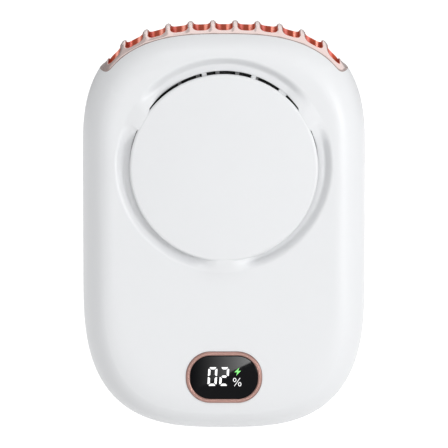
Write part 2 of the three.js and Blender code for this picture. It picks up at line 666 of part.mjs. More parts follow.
function grilleSwell() {
  const columns = (GRILLE_SLOTS + 1) * CREST_STEPS;
  const base = BODY_HEIGHT - END_REACH;
  const [length, depth] = [(GRILLE_SLOTS + 1) * GRILLE_PITCH, GRILLE_DEPTH + WALL];
  const geometry = new THREE.BoxGeometry(length, depth, 1, columns, CREST_ROWS, 1);
  const place = geometry.getAttribute('position');
  for (let i = 0; i < place.count; i += 1) {
    const [x, y] = [place.getX(i), place.getY(i)];
    place.setZ(i, place.getZ(i) > 0 ? grilleHeight(x, y) : base - WALL);
  }
  return solid(geometry);
}

function grilleSlots() {
  const opening = GRILLE_PITCH - GRILLE_RIB;
  const depth = GRILLE_DEPTH - 2 * GRILLE_RIM;
  const slots = Array.from({ length: GRILLE_SLOTS }, (_, i) => {
    const x = (i - (GRILLE_SLOTS - 1) / 2) * GRILLE_PITCH;
    const shape = rounded(x, 0, opening, depth, GRILLE_SLOT_CORNER);
    return prismZ(shape, -FAR, FAR, SLIM_CORNER);
  });
  return joined(slots).intersect(grilleColumn(-GRILLE_RIM));
}

function makeGrille() {
  const under = casing(WALL + FIT_GAP + GRILLE_FLANGE);
  const band = grilleSwell().intersect(grilleColumn(-FIT_GAP)).subtract(under);
  const flange = clear.subtract(under).intersect(grilleColumn(GRILLE_LAP));
  const hollow = inner.intersect(grilleColumn(-GRILLE_SKIRT));
  return band.add(flange).subtract(hollow.add(grilleSlots()));
}

// Display
function makeBezel() {
  const [front, back] = [FRONT_Y - BEZEL_PROUD, FRONT_Y + WINDOW_THICKNESS - FIT_GAP];
  return displayPocket(0, front, back).subtract(displayPocket(-BEZEL_RING, front - WALL, back + WALL));
}

function makeWindow() {
  return displayPocket(-BEZEL_RING - FIT_GAP, FRONT_Y - FIT_GAP, FRONT_Y + WINDOW_THICKNESS - FIT_GAP);
}

function makeDisplayModule() {
  const inset = BEZEL_RING + WINDOW_LEDGE;
  const [width, height] = [BEZEL_WIDTH / 2 - inset - FIT_GAP, BEZEL_HEIGHT / 2 - inset - FIT_GAP];
  const front = FRONT_Y + WINDOW_THICKNESS;
  return block(-width, width, front, BOARD_FRONT_Y - FIT_GAP, DISPLAY_Z - height, DISPLAY_Z + height)
    .intersect(displayPocket(-inset - FIT_GAP, front - WALL, BOARD_FRONT_Y));
}

// Blower
function scrollPath() {
  const spiral = Array.from({ length: SPIRAL_STEPS + 1 }, (_, i) => {
    const angle = TONGUE_ANGLE + ((SCROLL_END_ANGLE - TONGUE_ANGLE) * i) / SPIRAL_STEPS;
    return atAngle(scrollRadius(angle), angle);
  });
  const mouth = GRILLE_LENGTH / 2;
  const flare = spiral[0].y + (mouth + spiral[0].x) * MOUTH_SLOPE;
  const end = spiral[SPIRAL_STEPS];
  return [new THREE.Vector2(-mouth, BODY_HEIGHT), new THREE.Vector2(-mouth, flare), ...spiral,
    new THREE.Vector2(end.x, BODY_HEIGHT)];
}

function scrollPlate(y0, y1) {
  return prismY(new THREE.Shape(besidePath(scrollPath(), SCROLL_WALL)), y0, y1);
}

function makeScrollHousing() {
  const wall = prismY(bandShape(scrollPath(), SCROLL_WALL), SCROLL_LID_Y + FIT_GAP, PLATE_BACK_Y);
  const lugs = LUGS.map(({ x, y }) => rodY(x, y, LUG_RADIUS, PLATE_Y, PLATE_BACK_Y));
  const room = casing(SCROLL_INSET);
  const holes = LUGS.map(({ x, y }) => boreY(x, y, SCREW_HOLE, PLATE_Y - WALL, PLATE_BACK_Y + WALL));
  const body = joined([wall, scrollPlate(PLATE_Y, PLATE_BACK_Y)]).intersect(room);
  const spoke = block(CORE_BORE + WALL, EYE_RADIUS + WALL, PLATE_Y, PLATE_BACK_Y,
    BLOWER_Z - MOTOR_SPOKE / 2, BLOWER_Z + MOTOR_SPOKE / 2);
  const spokes = Array.from({ length: MOTOR_SPOKES }, (_, i) =>
    turned(spoke, MOTOR_SPOKE_START + (i * 360) / MOTOR_SPOKES));
  const mount = ring(CORE_BORE, CUP_RADIUS, PLATE_Y, PLATE_BACK_Y);
  const eye = rodY(0, BLOWER_Z, EYE_RADIUS, PLATE_Y - WALL, PLATE_BACK_Y + WALL, ROUND);
  return joined([body.subtract(eye), ...lugs, ...spokes, mount]).subtract(joined(holes))
    .subtract(boreY(0, BLOWER_Z, CORE_BORE, PLATE_Y - WALL, PLATE_BACK_Y + WALL, MOTOR_ROUND));
}

function makeScrollCover() {
  const plate = scrollPlate(SCROLL_FRONT_Y, SCROLL_LID_Y).intersect(casing(SCROLL_INSET));
  return plate.subtract(rodY(0, BLOWER_Z, EYE_RADIUS, SCROLL_FRONT_Y - WALL, SCROLL_LID_Y + WALL, ROUND));
}

// One forward-curved blade, as an arc of even thickness
function bladeShape() {
  const path = Array.from({ length: BLADE_STEPS + 1 }, (_, i) => {
    const t = i / BLADE_STEPS;
    const radius = IMPELLER_RADIUS - BLADE_WALL - (IMPELLER_RADIUS - BLADE_INNER_RADIUS) * t;
    return atAngle(radius, BLADE_LEAN * (1 - t) ** 2);
  });
  return bandShape(path, BLADE_WALL);
}

function makeImpeller() {
  const middle = (IMPELLER_FRONT_Y + IMPELLER_BACK_Y) / 2;
  const [webFront, webBack] = [middle - WEB / 2, middle + WEB / 2];
  const hub = revolved([[0, HUB_FRONT_Y], [HUB_RADIUS - HUB_WALL, HUB_FRONT_Y],
    [HUB_RADIUS, HUB_FRONT_Y + HUB_WALL], [HUB_RADIUS, webFront], [IMPELLER_RADIUS, webFront],
    [IMPELLER_RADIUS, webBack], [HUB_RADIUS, webBack], [HUB_RADIUS, CUP_BACK_Y - FIT_GAP],
    [HUB_INNER_RADIUS, CUP_BACK_Y - FIT_GAP], [HUB_INNER_RADIUS, HUB_FRONT_Y + HUB_WALL],
    [0, HUB_FRONT_Y + HUB_WALL]]);
  const blade = prismY(bladeShape(), IMPELLER_FRONT_Y, IMPELLER_BACK_Y);
  const blades = Array.from({ length: BLADE_COUNT }, (_, i) => turned(blade, (i * 360) / BLADE_COUNT));
  return joined([hub, ...blades]);
}

// Motor
function makeRotorCup() {
  const boss = BORE_RADIUS + CUP_WALL;
  const [front, face] = [CUP_FRONT_Y, CUP_FRONT_Y + CUP_WALL];
  return revolved([[BORE_RADIUS, front], [CUP_RADIUS - CUP_WALL / 2, front],
    [CUP_RADIUS, front + CUP_WALL / 2], [CUP_RADIUS, CUP_BACK_Y], [CUP_INNER_RADIUS, CUP_BACK_Y],
    [CUP_INNER_RADIUS, face], [boss, face], [boss, TUBE_FRONT_Y - RUN_GAP],
    [BORE_RADIUS, TUBE_FRONT_Y - RUN_GAP]], MOTOR_ROUND);
}

function makeStatorCore() {
  const spread = (SHOE_SHARE * Math.PI) / POLE_COUNT;
  const shoe = new THREE.Shape();
  const neckEnd = STATOR_RADIUS - POLE_SHOE;
  shoe.absarc(0, BLOWER_Z, STATOR_RADIUS, -spread, spread);
  shoe.absarc(0, BLOWER_Z, neckEnd, spread, -spread, true);
  const [y0, y1] = [STATOR_FRONT_Y, STATOR_BACK_Y];
  const pole = prismY(shoe, y0, y1, WIDE_CORNER).add(block(CORE_BORE, neckEnd + POLE_SHOE / 2, y0, y1,
    BLOWER_Z - POLE_NECK / 2, BLOWER_Z + POLE_NECK / 2));
  const poles = Array.from({ length: POLE_COUNT }, (_, i) =>
    turned(pole, POLE_START + (i * 360) / POLE_COUNT));
  return joined([ring(CORE_BORE - FIT_GAP / 2, CORE_HUB_RADIUS, y0, y1, MOTOR_ROUND), ...poles])
    .subtract(boreY(0, BLOWER_Z, CORE_BORE, y0 - WALL, y1 + WALL, MOTOR_ROUND));
}

function makeStatorCoil(number) {
  const half = POLE_NECK / 2 + FIT_GAP;
  const wide = half + COIL_WALL;
  const from = CORE_HUB_RADIUS + FIT_GAP;
  const to = (STATOR_RADIUS - POLE_SHOE) * Math.cos(Math.asin(wide / (STATOR_RADIUS - POLE_SHOE)))
    - FIT_GAP;
  const [y0, y1] = [STATOR_FRONT_Y - FIT_GAP, STATOR_BACK_Y + FIT_GAP];
  const [front, back] = [y0 - COIL_WALL + FIT_GAP, y1 + COIL_WALL - FIT_GAP];
  const winding = block(from, to, front, back, BLOWER_Z - wide, BLOWER_Z + wide)
    .subtract(block(from - WALL, to + WALL, y0, y1, BLOWER_Z - half, BLOWER_Z + half));
  return turned(winding, POLE_START + (number * 360) / POLE_COUNT);
}

// Main board and what it carries
function makeMainBoard() {
  const plate = block(-BOARD_HALF, BOARD_HALF, BOARD_FRONT_Y, BOARD_BACK_Y, -FAR, BOARD_TOP).intersect(clear);
  const holes = BOARD_SCREWS.map(([x, z]) =>
    boreY(x, z, SCREW_HOLE, BOARD_FRONT_Y - WALL, BOARD_BACK_Y + WALL));
  return plate.subtract(joined(holes));
}

function makeUsbShell() {
  const shell = usbColumn(0, USB_SHELL, USB_DEPTH);
  return shell.subtract(usbColumn(-USB_SHELL, -FAR, USB_DEPTH - USB_SHELL));
}

function makeUsbTongue() {
  const half = USB_TONGUE_WIDTH / 2;
  const base = USB_DEPTH - USB_SHELL - FIT_GAP;
  const foot = USB_HEIGHT / 2 - USB_SHELL - FIT_GAP;
  return joined([
    block(-half, half, -USB_TONGUE / 2, USB_TONGUE / 2, 2 * USB_SHELL, base),
    block(-half, half, -foot, foot, base - 2 * USB_TONGUE, base),
  ]);
}

const SWITCH_Y = BOARD_BACK_Y + FIT_GAP + SWITCH_HEIGHT / 2;
const SWITCH_X = BOARD_HALF + FIT_GAP;

function makeTactSwitch() {
  const half = SWITCH_SIDE / 2;
  const [y0, y1] = [SWITCH_Y - SWITCH_HEIGHT / 2, SWITCH_Y + SWITCH_HEIGHT / 2];
  const body = block(SWITCH_X - SWITCH_LENGTH, SWITCH_X, y0, y1, BUTTON_Z - half, BUTTON_Z + half);
  const bore = PLUNGER_RADIUS + FIT_GAP;
  return body.subtract(boreX(SWITCH_Y, BUTTON_Z, bore, SWITCH_X - SWITCH_LENGTH / 2, SWITCH_X + WALL));
}

function makePlunger() {
  const tail = SWITCH_X - SWITCH_LENGTH / 2 + BUTTON_TRAVEL + FIT_GAP;
  return rodX(SWITCH_Y, BUTTON_Z, PLUNGER_RADIUS, tail, SWITCH_X + BUTTON_TRAVEL + PLUNGER_RADIUS);
}

function makeButton() {
  const back = casing(WALL + FIT_GAP + BUTTON_FLANGE);
  const cap = casing(BUTTON_SUNK).subtract(back).intersect(buttonColumn(0, SIDE_X, FAR));
  const flange = clear.subtract(back).intersect(buttonColumn(BUTTON_FLANGE, SIDE_X, FAR));
  const stemStart = SWITCH_X + BUTTON_TRAVEL + PLUNGER_RADIUS + FIT_GAP;
  const stem = rodX(SWITCH_Y, BUTTON_Z, BUTTON_STEM_RADIUS, stemStart, FAR)
    .intersect(casing(WALL + FIT_GAP + BUTTON_FLANGE / 2));
  return joined([cap, flange, stem]);
}

// Battery cell, standing just above the curve of the floor
function cellBottom() {
  return floorHeight(CELL_WIDTH / 2 + TRAY_WALL, CELL_BACK_Y) + FIT_GAP;
}

function makeCell() {
  const bottom = cellBottom();
  const height = BAY_TOP - bottom;
  const shape = rounded(0, bottom + height / 2, CELL_WIDTH, height, CELL_CORNER);
  return prismY(shape, CELL_FRONT_Y, CELL_BACK_Y);
}

// Belt clip
function makeClip() {
  const jaw = BACK_Y + FIT_GAP;
  const path = [
    new THREE.Vector2(jaw + JAW_LIP / 2, JAW_Z - JAW_LIP),
    new THREE.Vector2(jaw, JAW_Z - CLIP_WALL / 2),
    new THREE.Vector2(jaw, JAW_Z + CLIP_WALL / 2),
    new THREE.Vector2(CLIP_INNER_Y, JAW_Z + JAW_RAMP),
    new THREE.Vector2(CLIP_INNER_Y, HINGE_Z + THUMB_REACH),
  ];
  const plate = prismX(bandShape(path, CLIP_WALL), -CLIP_WIDTH / 2, CLIP_WIDTH / 2);
  const height = HINGE_Z + THUMB_REACH - JAW_Z + JAW_LIP;
  const outline = rounded(0, JAW_Z - JAW_LIP + height / 2, CLIP_WIDTH, height, CLIP_CORNER);
  const ear = new THREE.Shape();
  ear.absarc(HINGE_Y, HINGE_Z, KNUCKLE_RADIUS, Math.PI * 0.75, Math.PI * 1.25);
  ear.lineTo(CLIP_INNER_Y + CLIP_WALL / 2, HINGE_Z - 2 * KNUCKLE_RADIUS);
  ear.lineTo(CLIP_INNER_Y + CLIP_WALL / 2, HINGE_Z + 2 * KNUCKLE_RADIUS);
  const inside = LUG_CENTRE + LUG_WIDTH / 2 + FIT_GAP;
  const ears = [prismX(ear, inside, CLIP_WIDTH / 2), prismX(ear, -CLIP_WIDTH / 2, -inside)];
  const bore = boreX(HINGE_Y, HINGE_Z, PIN_RADIUS + FIT_GAP, -CLIP_WIDTH, CLIP_WIDTH);
  return joined([plate.intersect(prismY(outline, 0, FAR)), ...ears]).subtract(bore);
}

function springPath() {
  const steps = Math.round(SPRING_TURNS * COIL_STEPS);
  const half = SPRING_WIDTH / 2;
  const lean = HINGE_STANDOFF - SPRING_RADIUS - SPRING_WIRE - FIT_GAP;
  const coil = Array.from({ length: steps + 1 }, (_, i) => {
    const t = Math.PI + (2 * Math.PI * SPRING_TURNS * i) / steps;
    const x = -half + (SPRING_WIDTH * i) / steps;
    return new THREE.Vector3(x, HINGE_Y + SPRING_RADIUS * Math.cos(t), HINGE_Z + SPRING_RADIUS * Math.sin(t));
  });
  const first = new THREE.Vector3(-half, HINGE_Y - SPRING_RADIUS - lean, HINGE_Z + SPRING_LEG);
  const last = new THREE.Vector3(half, HINGE_Y + SPRING_RADIUS, HINGE_Z + SPRING_LEG);
  return new THREE.CatmullRomCurve3([first, ...coil, last]);
}

function makeSpring() {
  const section = new THREE.Shape();
  section.absarc(0, 0, SPRING_WIRE, 0, Math.PI * 2);
  return solid(new THREE.ExtrudeGeometry(section, {
    steps: Math.round(SPRING_TURNS * WIRE_STEPS), curveSegments: WIDE_CORNER, bevelEnabled: false,
    extrudePath: springPath(),
  }));
}

// A screw along Y with its head towards +Y, or towards -Y when turned
function makeScrew(x, z, headY, length, turnedRound = false) {
  const sign = turnedRound ? -1 : 1;
  const profile = [[0, 0], [SCREW_HEAD_RADIUS, 0], [SCREW_HEAD_RADIUS, -SCREW_RIM],
    [SCREW_RADIUS, -SCREW_HEAD], [SCREW_RADIUS, SCREW_RADIUS - length], [0, -length]];
  const points = profile.map(([r, y]) => new THREE.Vector2(r, sign * y));
  const geometry = new THREE.LatheGeometry([...points, points[0]], SMALL_ROUND);
  return solid(geometry.translate(x, headY, z));
}

// Finishes
const FINISHES = {
  shellWhite: { color: 0xeceef0, roughness: 0.42, metalness: 0 },
  roseGold: { color: 0xe3b3a4, roughness: 0.28, metalness: 0.9 },
  windowBlack: { color: 0x0b0b0d, roughness: 0.06, metalness: 0 },
  innerBlack: { color: 0x17181a, roughness: 0.6, metalness: 0 },
  steel: { color: 0xb9bcc0, roughness: 0.3, metalness: 1 },
  copper: { color: 0xb5673a, roughness: 0.35, metalness: 1 },
  ferrite: { color: 0x2c2c2e, roughness: 0.7, metalness: 0.2 },
  boardGreen: { color: 0x1e5b3a, roughness: 0.5, metalness: 0 },
  cellWrap: { color: 0x9aa3ad, roughness: 0.4, metalness: 0.3 },
};

const fan = new THREE.Group();

function addPiece(name, body, finish) {
  const mesh = new THREE.Mesh(geometryOf(body), new THREE.MeshStandardMaterial(FINISHES[finish]));
  mesh.name = name;
  fan.add(mesh);
}

addPiece('front_cover', makeFrontCover(), 'shellWhite');
addPiece('rear_cover', makeRearCover(), 'shellWhite');
addPiece('intake_disc', makeDisc(), 'shellWhite');
addPiece('outlet_grille', makeGrille(), 'roseGold');
addPiece('display_bezel', makeBezel(), 'roseGold');
addPiece('display_window', makeWindow(), 'windowBlack');
addPiece('display_module', makeDisplayModule(), 'innerBlack');
addPiece('scroll_housing', makeScrollHousing(), 'innerBlack');
addPiece('scroll_cover', makeScrollCover(), 'innerBlack');
addPiece('impeller', makeImpeller(), 'innerBlack');
addPiece('rotor_cup', makeRotorCup(), 'steel');
addPiece('rotor_magnet', ring(STATOR_RADIUS + RUN_GAP, MAGNET_RADIUS, CUP_FRONT_Y + CUP_WALL + FIT_GAP,
  CUP_BACK_Y - RUN_GAP, MOTOR_ROUND), 'ferrite');
addPiece('stator_core', makeStatorCore(), 'steel');
for (let i = 0; i < POLE_COUNT; i += 1) {
  addPiece(`stator_coil_${i + 1}`, makeStatorCoil(i), 'copper');
}
addPiece('motor_shaft', rodY(0, BLOWER_Z, SHAFT_RADIUS, CUP_FRONT_Y + FIT_GAP, PLATE_Y), 'steel');
addPiece('bearing_tube', ring(TUBE_INNER_RADIUS, TUBE_RADIUS, TUBE_FRONT_Y, PLATE_BACK_Y, MOTOR_ROUND),
  'innerBlack');
addPiece('bearing_front', ring(BORE_RADIUS, BEARING_RADIUS, TUBE_FRONT_Y + FIT_GAP,
  TUBE_FRONT_Y + FIT_GAP + BEARING_LENGTH, SMALL_ROUND), 'steel');
addPiece('bearing_rear', ring(BORE_RADIUS, BEARING_RADIUS, BOARD_RING_Y - BEARING_LENGTH, BOARD_RING_Y,
  SMALL_ROUND), 'steel');
addPiece('shaft_clip', ring(BORE_RADIUS, BEARING_RADIUS - RUN_GAP, BOARD_RING_Y + FIT_GAP,
  BOARD_RING_Y + FIT_GAP + RUN_GAP, SMALL_ROUND), 'steel');
addPiece('motor_board', ring(CORE_BORE, STATOR_RADIUS + RUN_GAP, BOARD_RING_Y, BOARD_RING_Y + MOTOR_BOARD,
  MOTOR_ROUND), 'boardGreen');
addPiece('main_board', makeMainBoard(), 'boardGreen');
addPiece('tact_switch', makeTactSwitch(), 'innerBlack');
addPiece('switch_plunger', makePlunger(), 'innerBlack');
addPiece('usb_shell', makeUsbShell(), 'steel');
addPiece('usb_tongue', makeUsbTongue(), 'innerBlack');
addPiece('battery_cell', makeCell(), 'cellWrap');
addPiece('power_button', makeButton(), 'shellWhite');
addPiece('belt_clip', makeClip(), 'shellWhite');
addPiece('clip_pin', rodX(HINGE_Y, HINGE_Z, PIN_RADIUS, -CLIP_WIDTH / 2 + RUN_GAP, CLIP_WIDTH / 2 - RUN_GAP),
  'steel');
addPiece('clip_spring', makeSpring(), 'steel');
CASE_SCREWS.forEach(([x, z], i) => {
  addPiece(`case_screw_${i + 1}`, makeScrew(x, z, CASE_HEAD_Y, CASE_SCREW_LENGTH), 'steel');
});
LUGS.forEach(({ x, y }, i) => {
  const head = PLATE_Y - FIT_GAP - SCREW_HEAD;
  addPiece(`housing_screw_${i + 1}`, makeScrew(x, y, head, SHORT_SCREW_LENGTH, true), 'steel');
});
BOARD_SCREWS.forEach(([x, z], i) => {
  const head = BOARD_BACK_Y + FIT_GAP + SCREW_HEAD;
  addPiece(`board_screw_${i + 1}`, makeScrew(x, z, head, SHORT_SCREW_LENGTH), 'steel');
});

// The origin is where the belt bears on the back
fan.position.set(0, -BACK_Y, -BELT_HEIGHT);

export default fan;
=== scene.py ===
import json
import math

import bmesh
import bpy
from mathutils import Matrix, Vector


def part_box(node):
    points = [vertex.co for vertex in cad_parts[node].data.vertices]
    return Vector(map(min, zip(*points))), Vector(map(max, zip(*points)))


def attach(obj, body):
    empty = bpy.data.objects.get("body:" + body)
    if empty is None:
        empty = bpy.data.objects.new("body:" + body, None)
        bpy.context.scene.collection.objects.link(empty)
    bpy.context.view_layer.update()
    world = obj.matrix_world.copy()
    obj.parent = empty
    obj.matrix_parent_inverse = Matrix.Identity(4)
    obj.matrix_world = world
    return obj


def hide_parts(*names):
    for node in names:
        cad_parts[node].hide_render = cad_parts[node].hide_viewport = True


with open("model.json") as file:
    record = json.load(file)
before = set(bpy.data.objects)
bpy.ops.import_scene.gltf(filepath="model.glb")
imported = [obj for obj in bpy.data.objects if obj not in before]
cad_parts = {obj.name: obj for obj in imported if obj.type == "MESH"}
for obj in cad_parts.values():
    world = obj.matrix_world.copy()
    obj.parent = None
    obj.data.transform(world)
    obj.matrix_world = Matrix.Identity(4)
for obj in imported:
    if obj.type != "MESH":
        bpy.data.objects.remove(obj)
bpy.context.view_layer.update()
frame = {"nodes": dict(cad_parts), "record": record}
cadNodes = frame["nodes"]
mm = 0.001
sliver = 0.01 * mm   # flat left on a fully round end
cutClear = 2 * mm    # reach of a cutter past the casing
white, black = (1, 1, 1, 1), (0, 0, 0, 1)
scene = bpy.context.scene
scene.view_settings.view_transform = "Standard"
print("frame loaded,", len(cadNodes), "nodes")


# mesh helpers
def loopOf(bm, count, rings, joinEnds=False, capStart=False, capEnd=False):
    # one closed loop, extruded from ring to ring; a ring gives the place for a share of the turn
    share = bm.verts.layers.float.get("share") or bm.verts.layers.float.new("share")
    verts = bmesh.ops.create_circle(bm, segments=count, radius=1.0)["verts"]
    for number, vert in enumerate(verts):
        vert[share] = number / count
        vert.co = rings[0](number / count)
    edges = list(dict.fromkeys(e for v in verts for e in v.link_edges))
    firstEdges = edges
    for ring in rings[1:]:
        made = bmesh.ops.extrude_edge_only(bm, edges=edges)["geom"]
        fresh = {g for g in made if isinstance(g, bmesh.types.BMVert)}
        edges = [g for g in made if isinstance(g, bmesh.types.BMEdge) and set(g.verts) <= fresh]
        for vert in fresh:
            vert.co = ring(vert[share])
    if joinEnds:
        bmesh.ops.bridge_loops(bm, edges=firstEdges + edges)
    if capStart:
        bmesh.ops.edgeloop_fill(bm, edges=firstEdges)
    if capEnd:
        bmesh.ops.edgeloop_fill(bm, edges=edges)
    return firstEdges, edges


def newMesh():
    bm = bmesh.new()
    bm.verts.layers.float.new("share")
    return bm


def asObject(bm, name):
    bmesh.ops.recalc_face_normals(bm, faces=bm.faces[:])
    mesh = bpy.data.meshes.new(name)
    bm.to_mesh(mesh)
    bm.free()
    made = bpy.data.objects.new(name, mesh)
    scene.collection.objects.link(made)
    return made


def carve(piece, cutter, operation="DIFFERENCE"):
    # cuts or joins for good, and throws the cutter away
    step = piece.modifiers.new("carve", "BOOLEAN")
    step.operation = operation
    step.solver = "EXACT"
    step.object = cutter
    applyModifiers(piece)
    bpy.data.objects.remove(cutter)


def applyModifiers(piece):
    graph = bpy.context.evaluated_depsgraph_get()
    shaped = bpy.data.meshes.new_from_object(piece.evaluated_get(graph))
    piece.modifiers.clear()
    piece.data = shaped


def soften(piece, width, segments=3, angle=40):
    # rounds every edge that is sharper than the angle
    step = piece.modifiers.new("soften", "BEVEL")
    step.width = width
    step.segments = segments
    step.limit_method = "ANGLE"
    step.angle_limit = math.radians(angle)
    applyModifiers(piece)


def settle(piece, body, material, replaced=(), angle=35):
    # smooth shading, finish and the body that it moves with
    piece.data.materials.clear()
    piece.data.materials.append(material)
    piece.data.shade_smooth()
    piece.data.set_sharp_from_angle(angle=math.radians(angle))
    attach(piece, body)
    if replaced:
        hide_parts(*replaced)
    return piece


def roundedAt(share, width, height, corner=None):
    # a place on a rectangle with round corners, or with fully round ends; arcs take most of the points
    if corner is None:
        corner = min(width, height) / 2 - sliver
    arcShare = 0.6
    side = int(share * 4 + 1e-6) % 4
    part = share * 4 - int(share * 4 + 1e-6)
    reach = (width / 2 - corner, height / 2 - corner)
    signs = ((1, 1), (-1, 1), (-1, -1), (1, -1))

    def onArc(which, turn):
        angle = (which + turn) * math.pi / 2
        sx, sy = signs[which % 4]
        return Vector((sx * reach[0] + corner * math.cos(angle), sy * reach[1] + corner * math.sin(angle)))

    if part <= arcShare:
        return onArc(side, part / arcShare)
    along = (part - arcShare) / (1 - arcShare)
    return onArc(side, 1.0).lerp(onArc(side + 1, 0.0), along)


def circleAt(share, radius):
    angle = share * 2 * math.pi
    return Vector((radius * math.cos(angle), radius * math.sin(angle)))


def eased(t):
    return 0.5 - 0.5 * math.cos(math.pi * t)


def clamped(t):
    return min(max(t, 0.0), 1.0)


def quarterTurns(steps):
    return [math.pi / 2 * i / steps for i in range(steps + 1)]


def upright(place, y, z=0.0):
    # a flat place, stood up at a depth
    return Vector((place.x, y, z + place.y))


def loopPiece(name, count, rings, **ends):
    bm = newMesh()
    loopOf(bm, count, rings, **ends)
    return asObject(bm, name)


def prism(bm, count, ringAt, start, end):
    loopOf(bm, count, [ringAt(start), ringAt(end)], capStart=True, capEnd=True)


def addBlock(bm, size, place):
    block = bmesh.ops.create_cube(bm, size=1.0)["verts"]
    bmesh.ops.scale(bm, vec=size, verts=block)
    bmesh.ops.translate(bm, vec=place, verts=block)
    return block


def drawOut(bm, corners, way):
    # a flat outline, drawn out into a closed slab
    outline = bm.faces.new([bm.verts.new(corner) for corner in corners])
    made = bmesh.ops.extrude_face_region(bm, geom=[outline])["geom"]
    moved = [g for g in made if isinstance(g, bmesh.types.BMVert)]
    bmesh.ops.translate(bm, vec=way, verts=moved)


def turned(name, points, centre, axis, steps):
    # a profile spun round, with its poles closed
    bm = bmesh.new()
    verts = [bm.verts.new(point) for point in points]
    edges = [bm.edges.new(pair) for pair in zip(verts, verts[1:])]
    bmesh.ops.spin(bm, geom=verts + edges, cent=centre, axis=axis, angle=2 * math.pi, steps=steps,
                   use_merge=True)
    bmesh.ops.remove_doubles(bm, verts=bm.verts[:], dist=1e-6)
    return asObject(bm, name)


# finishes
texture = {
    "mottleScale": 90, "mottleDetail": 2.0, "grainDetail": 1.5, "grainDepth": 0.02 * mm,
    "litShade": 0.5, "litRough": 0.4,   # the lit figures' own colour and gloss
}


def shaderOf(material):
    return material.node_tree.nodes["Principled BSDF"]


def plug(tree, node, sockets):
    # a socket takes a value, or is linked to another node's output
    for socket, value in sockets.items():
        if isinstance(value, bpy.types.NodeSocket):
            tree.links.new(value, node.inputs[socket])
        else:
            node.inputs[socket].default_value = value


def addNode(tree, kind, sockets=None, out=0, **settings):
    # a new shader node, known by one of its outputs
    node = tree.nodes.new("ShaderNode" + kind)
    for name, value in settings.items():
        setattr(node, name, value)
    plug(tree, node, sockets or {})
    return node.outputs[out]


def mixColours(tree, share, first, second):
    return addNode(tree, "Mix", {"Factor": share, "A": first, "B": second}, out="Result", data_type="RGBA")


def newMaterial(name, sockets):
    material = bpy.data.materials.new(name)
    material.use_nodes = True
    plug(material.node_tree, shaderOf(material), sockets)
    return material


def objectNoise(tree, scale, detail):
    place = addNode(tree, "TexCoord", out="Object")
    return addNode(tree, "TexNoise", {"Vector": place, "Scale": scale, "Detail": detail})


def finish(name, colour, roughness, metallic=0.0, specular=0.5, mottle=0.02, roughSpread=0.06,
           grain=0.0, grainScale=4000):
    material = newMaterial(name, {"Metallic": metallic, "Specular IOR Level": specular})
    tree, shader = material.node_tree, shaderOf(material)
    # tone and gloss change slowly
    slow = objectNoise(tree, texture["mottleScale"], texture["mottleDetail"])
    dark, light = ([*(min(c * (1 + change), 1) for c in colour), 1] for change in (-mottle, mottle))
    gloss = addNode(tree, "MapRange", {
        "Value": slow, "To Min": roughness - roughSpread / 2, "To Max": roughness + roughSpread / 2,
    })
    plug(tree, shader, {"Base Color": mixColours(tree, slow, dark, light), "Roughness": gloss})
    if grain:
        fine = objectNoise(tree, grainScale, texture["grainDetail"])
        bump = addNode(tree, "Bump", {"Height": fine, "Strength": grain, "Distance": texture["grainDepth"]})
        plug(tree, shader, {"Normal": bump})
    return material


def addPaintedSheenBands(material, period, half, paintedSheenBands):
    # painted reflections: brighter, more metallic upright bands beside the middle of every opening, where the
    # pocket's far corners would mirror light; the right band is lighter, as the light falls from the right
    tree, shader = material.node_tree, shaderOf(material)
    across = addNode(tree, "SeparateXYZ", {"Vector": addNode(tree, "TexCoord", out="Object")})
    wrapped = addNode(tree, "Math", {0: across, 1: period / 2, 2: -period / 2}, operation="WRAP")
    tint = shader.inputs["Base Color"].links[0].from_socket
    shine = 0.0
    for middle, colour in paintedSheenBands:
        away = addNode(tree, "Math", {0: wrapped, 1: middle}, operation="SUBTRACT")
        size = addNode(tree, "Math", {0: away}, operation="ABSOLUTE")
        paintedSheenBand = addNode(tree, "MapRange", {"Value": size, "From Max": half, "To Min": 1.0, "To Max": 0.0},
                       interpolation_type="SMOOTHSTEP")
        tint = mixColours(tree, paintedSheenBand, tint, [*colour, 1])
        shine = addNode(tree, "Math", {0: shine, 1: paintedSheenBand}, operation="MAXIMUM")
    plug(tree, shader, {"Base Color": tint, "Metallic": shine})


def glowing(name, colour, strength):
    material = finish(name, [c * texture["litShade"] for c in colour], texture["litRough"])
    plug(material.node_tree, shaderOf(material), {
        "Emission Color": [*colour, 1], "Emission Strength": strength,
    })
    return material


shellWhite = finish("shellWhite", (0.80, 0.81, 0.825), 0.42, mottle=0.008, grain=0.25, grainScale=3500)
roseGold = finish("roseGold", (0.88, 0.71, 0.675), 0.24, metallic=0.9, mottle=0.03, grain=0.1, grainScale=900)
roseBezel = finish("roseBezel", (0.315, 0.185, 0.16), 0.34, metallic=0.8, mottle=0.03, grain=0.02,
                   grainScale=900)
# a darker copy of the rose gold: painted shade for the grille's flange down in the seam
flangePaintedShade = finish("flangePaintedShade", (0.40, 0.31, 0.29), 0.5, metallic=0.2, mottle=0.05)
copperLining = finish("copperLining", (0.60, 0.10, 0.045), 0.36, specular=0.15, mottle=0.03, grain=0.03,
                      grainScale=900)
windowBlack = finish("windowBlack", (0.004, 0.004, 0.005), 0.02, specular=0.06, mottle=0.2, roughSpread=0.01)
digitWhite = glowing("digitWhite", (1.0, 1.0, 1.0), 0.85)
boltGreen = glowing("boltGreen", (0.20, 0.75, 0.18), 0.9)
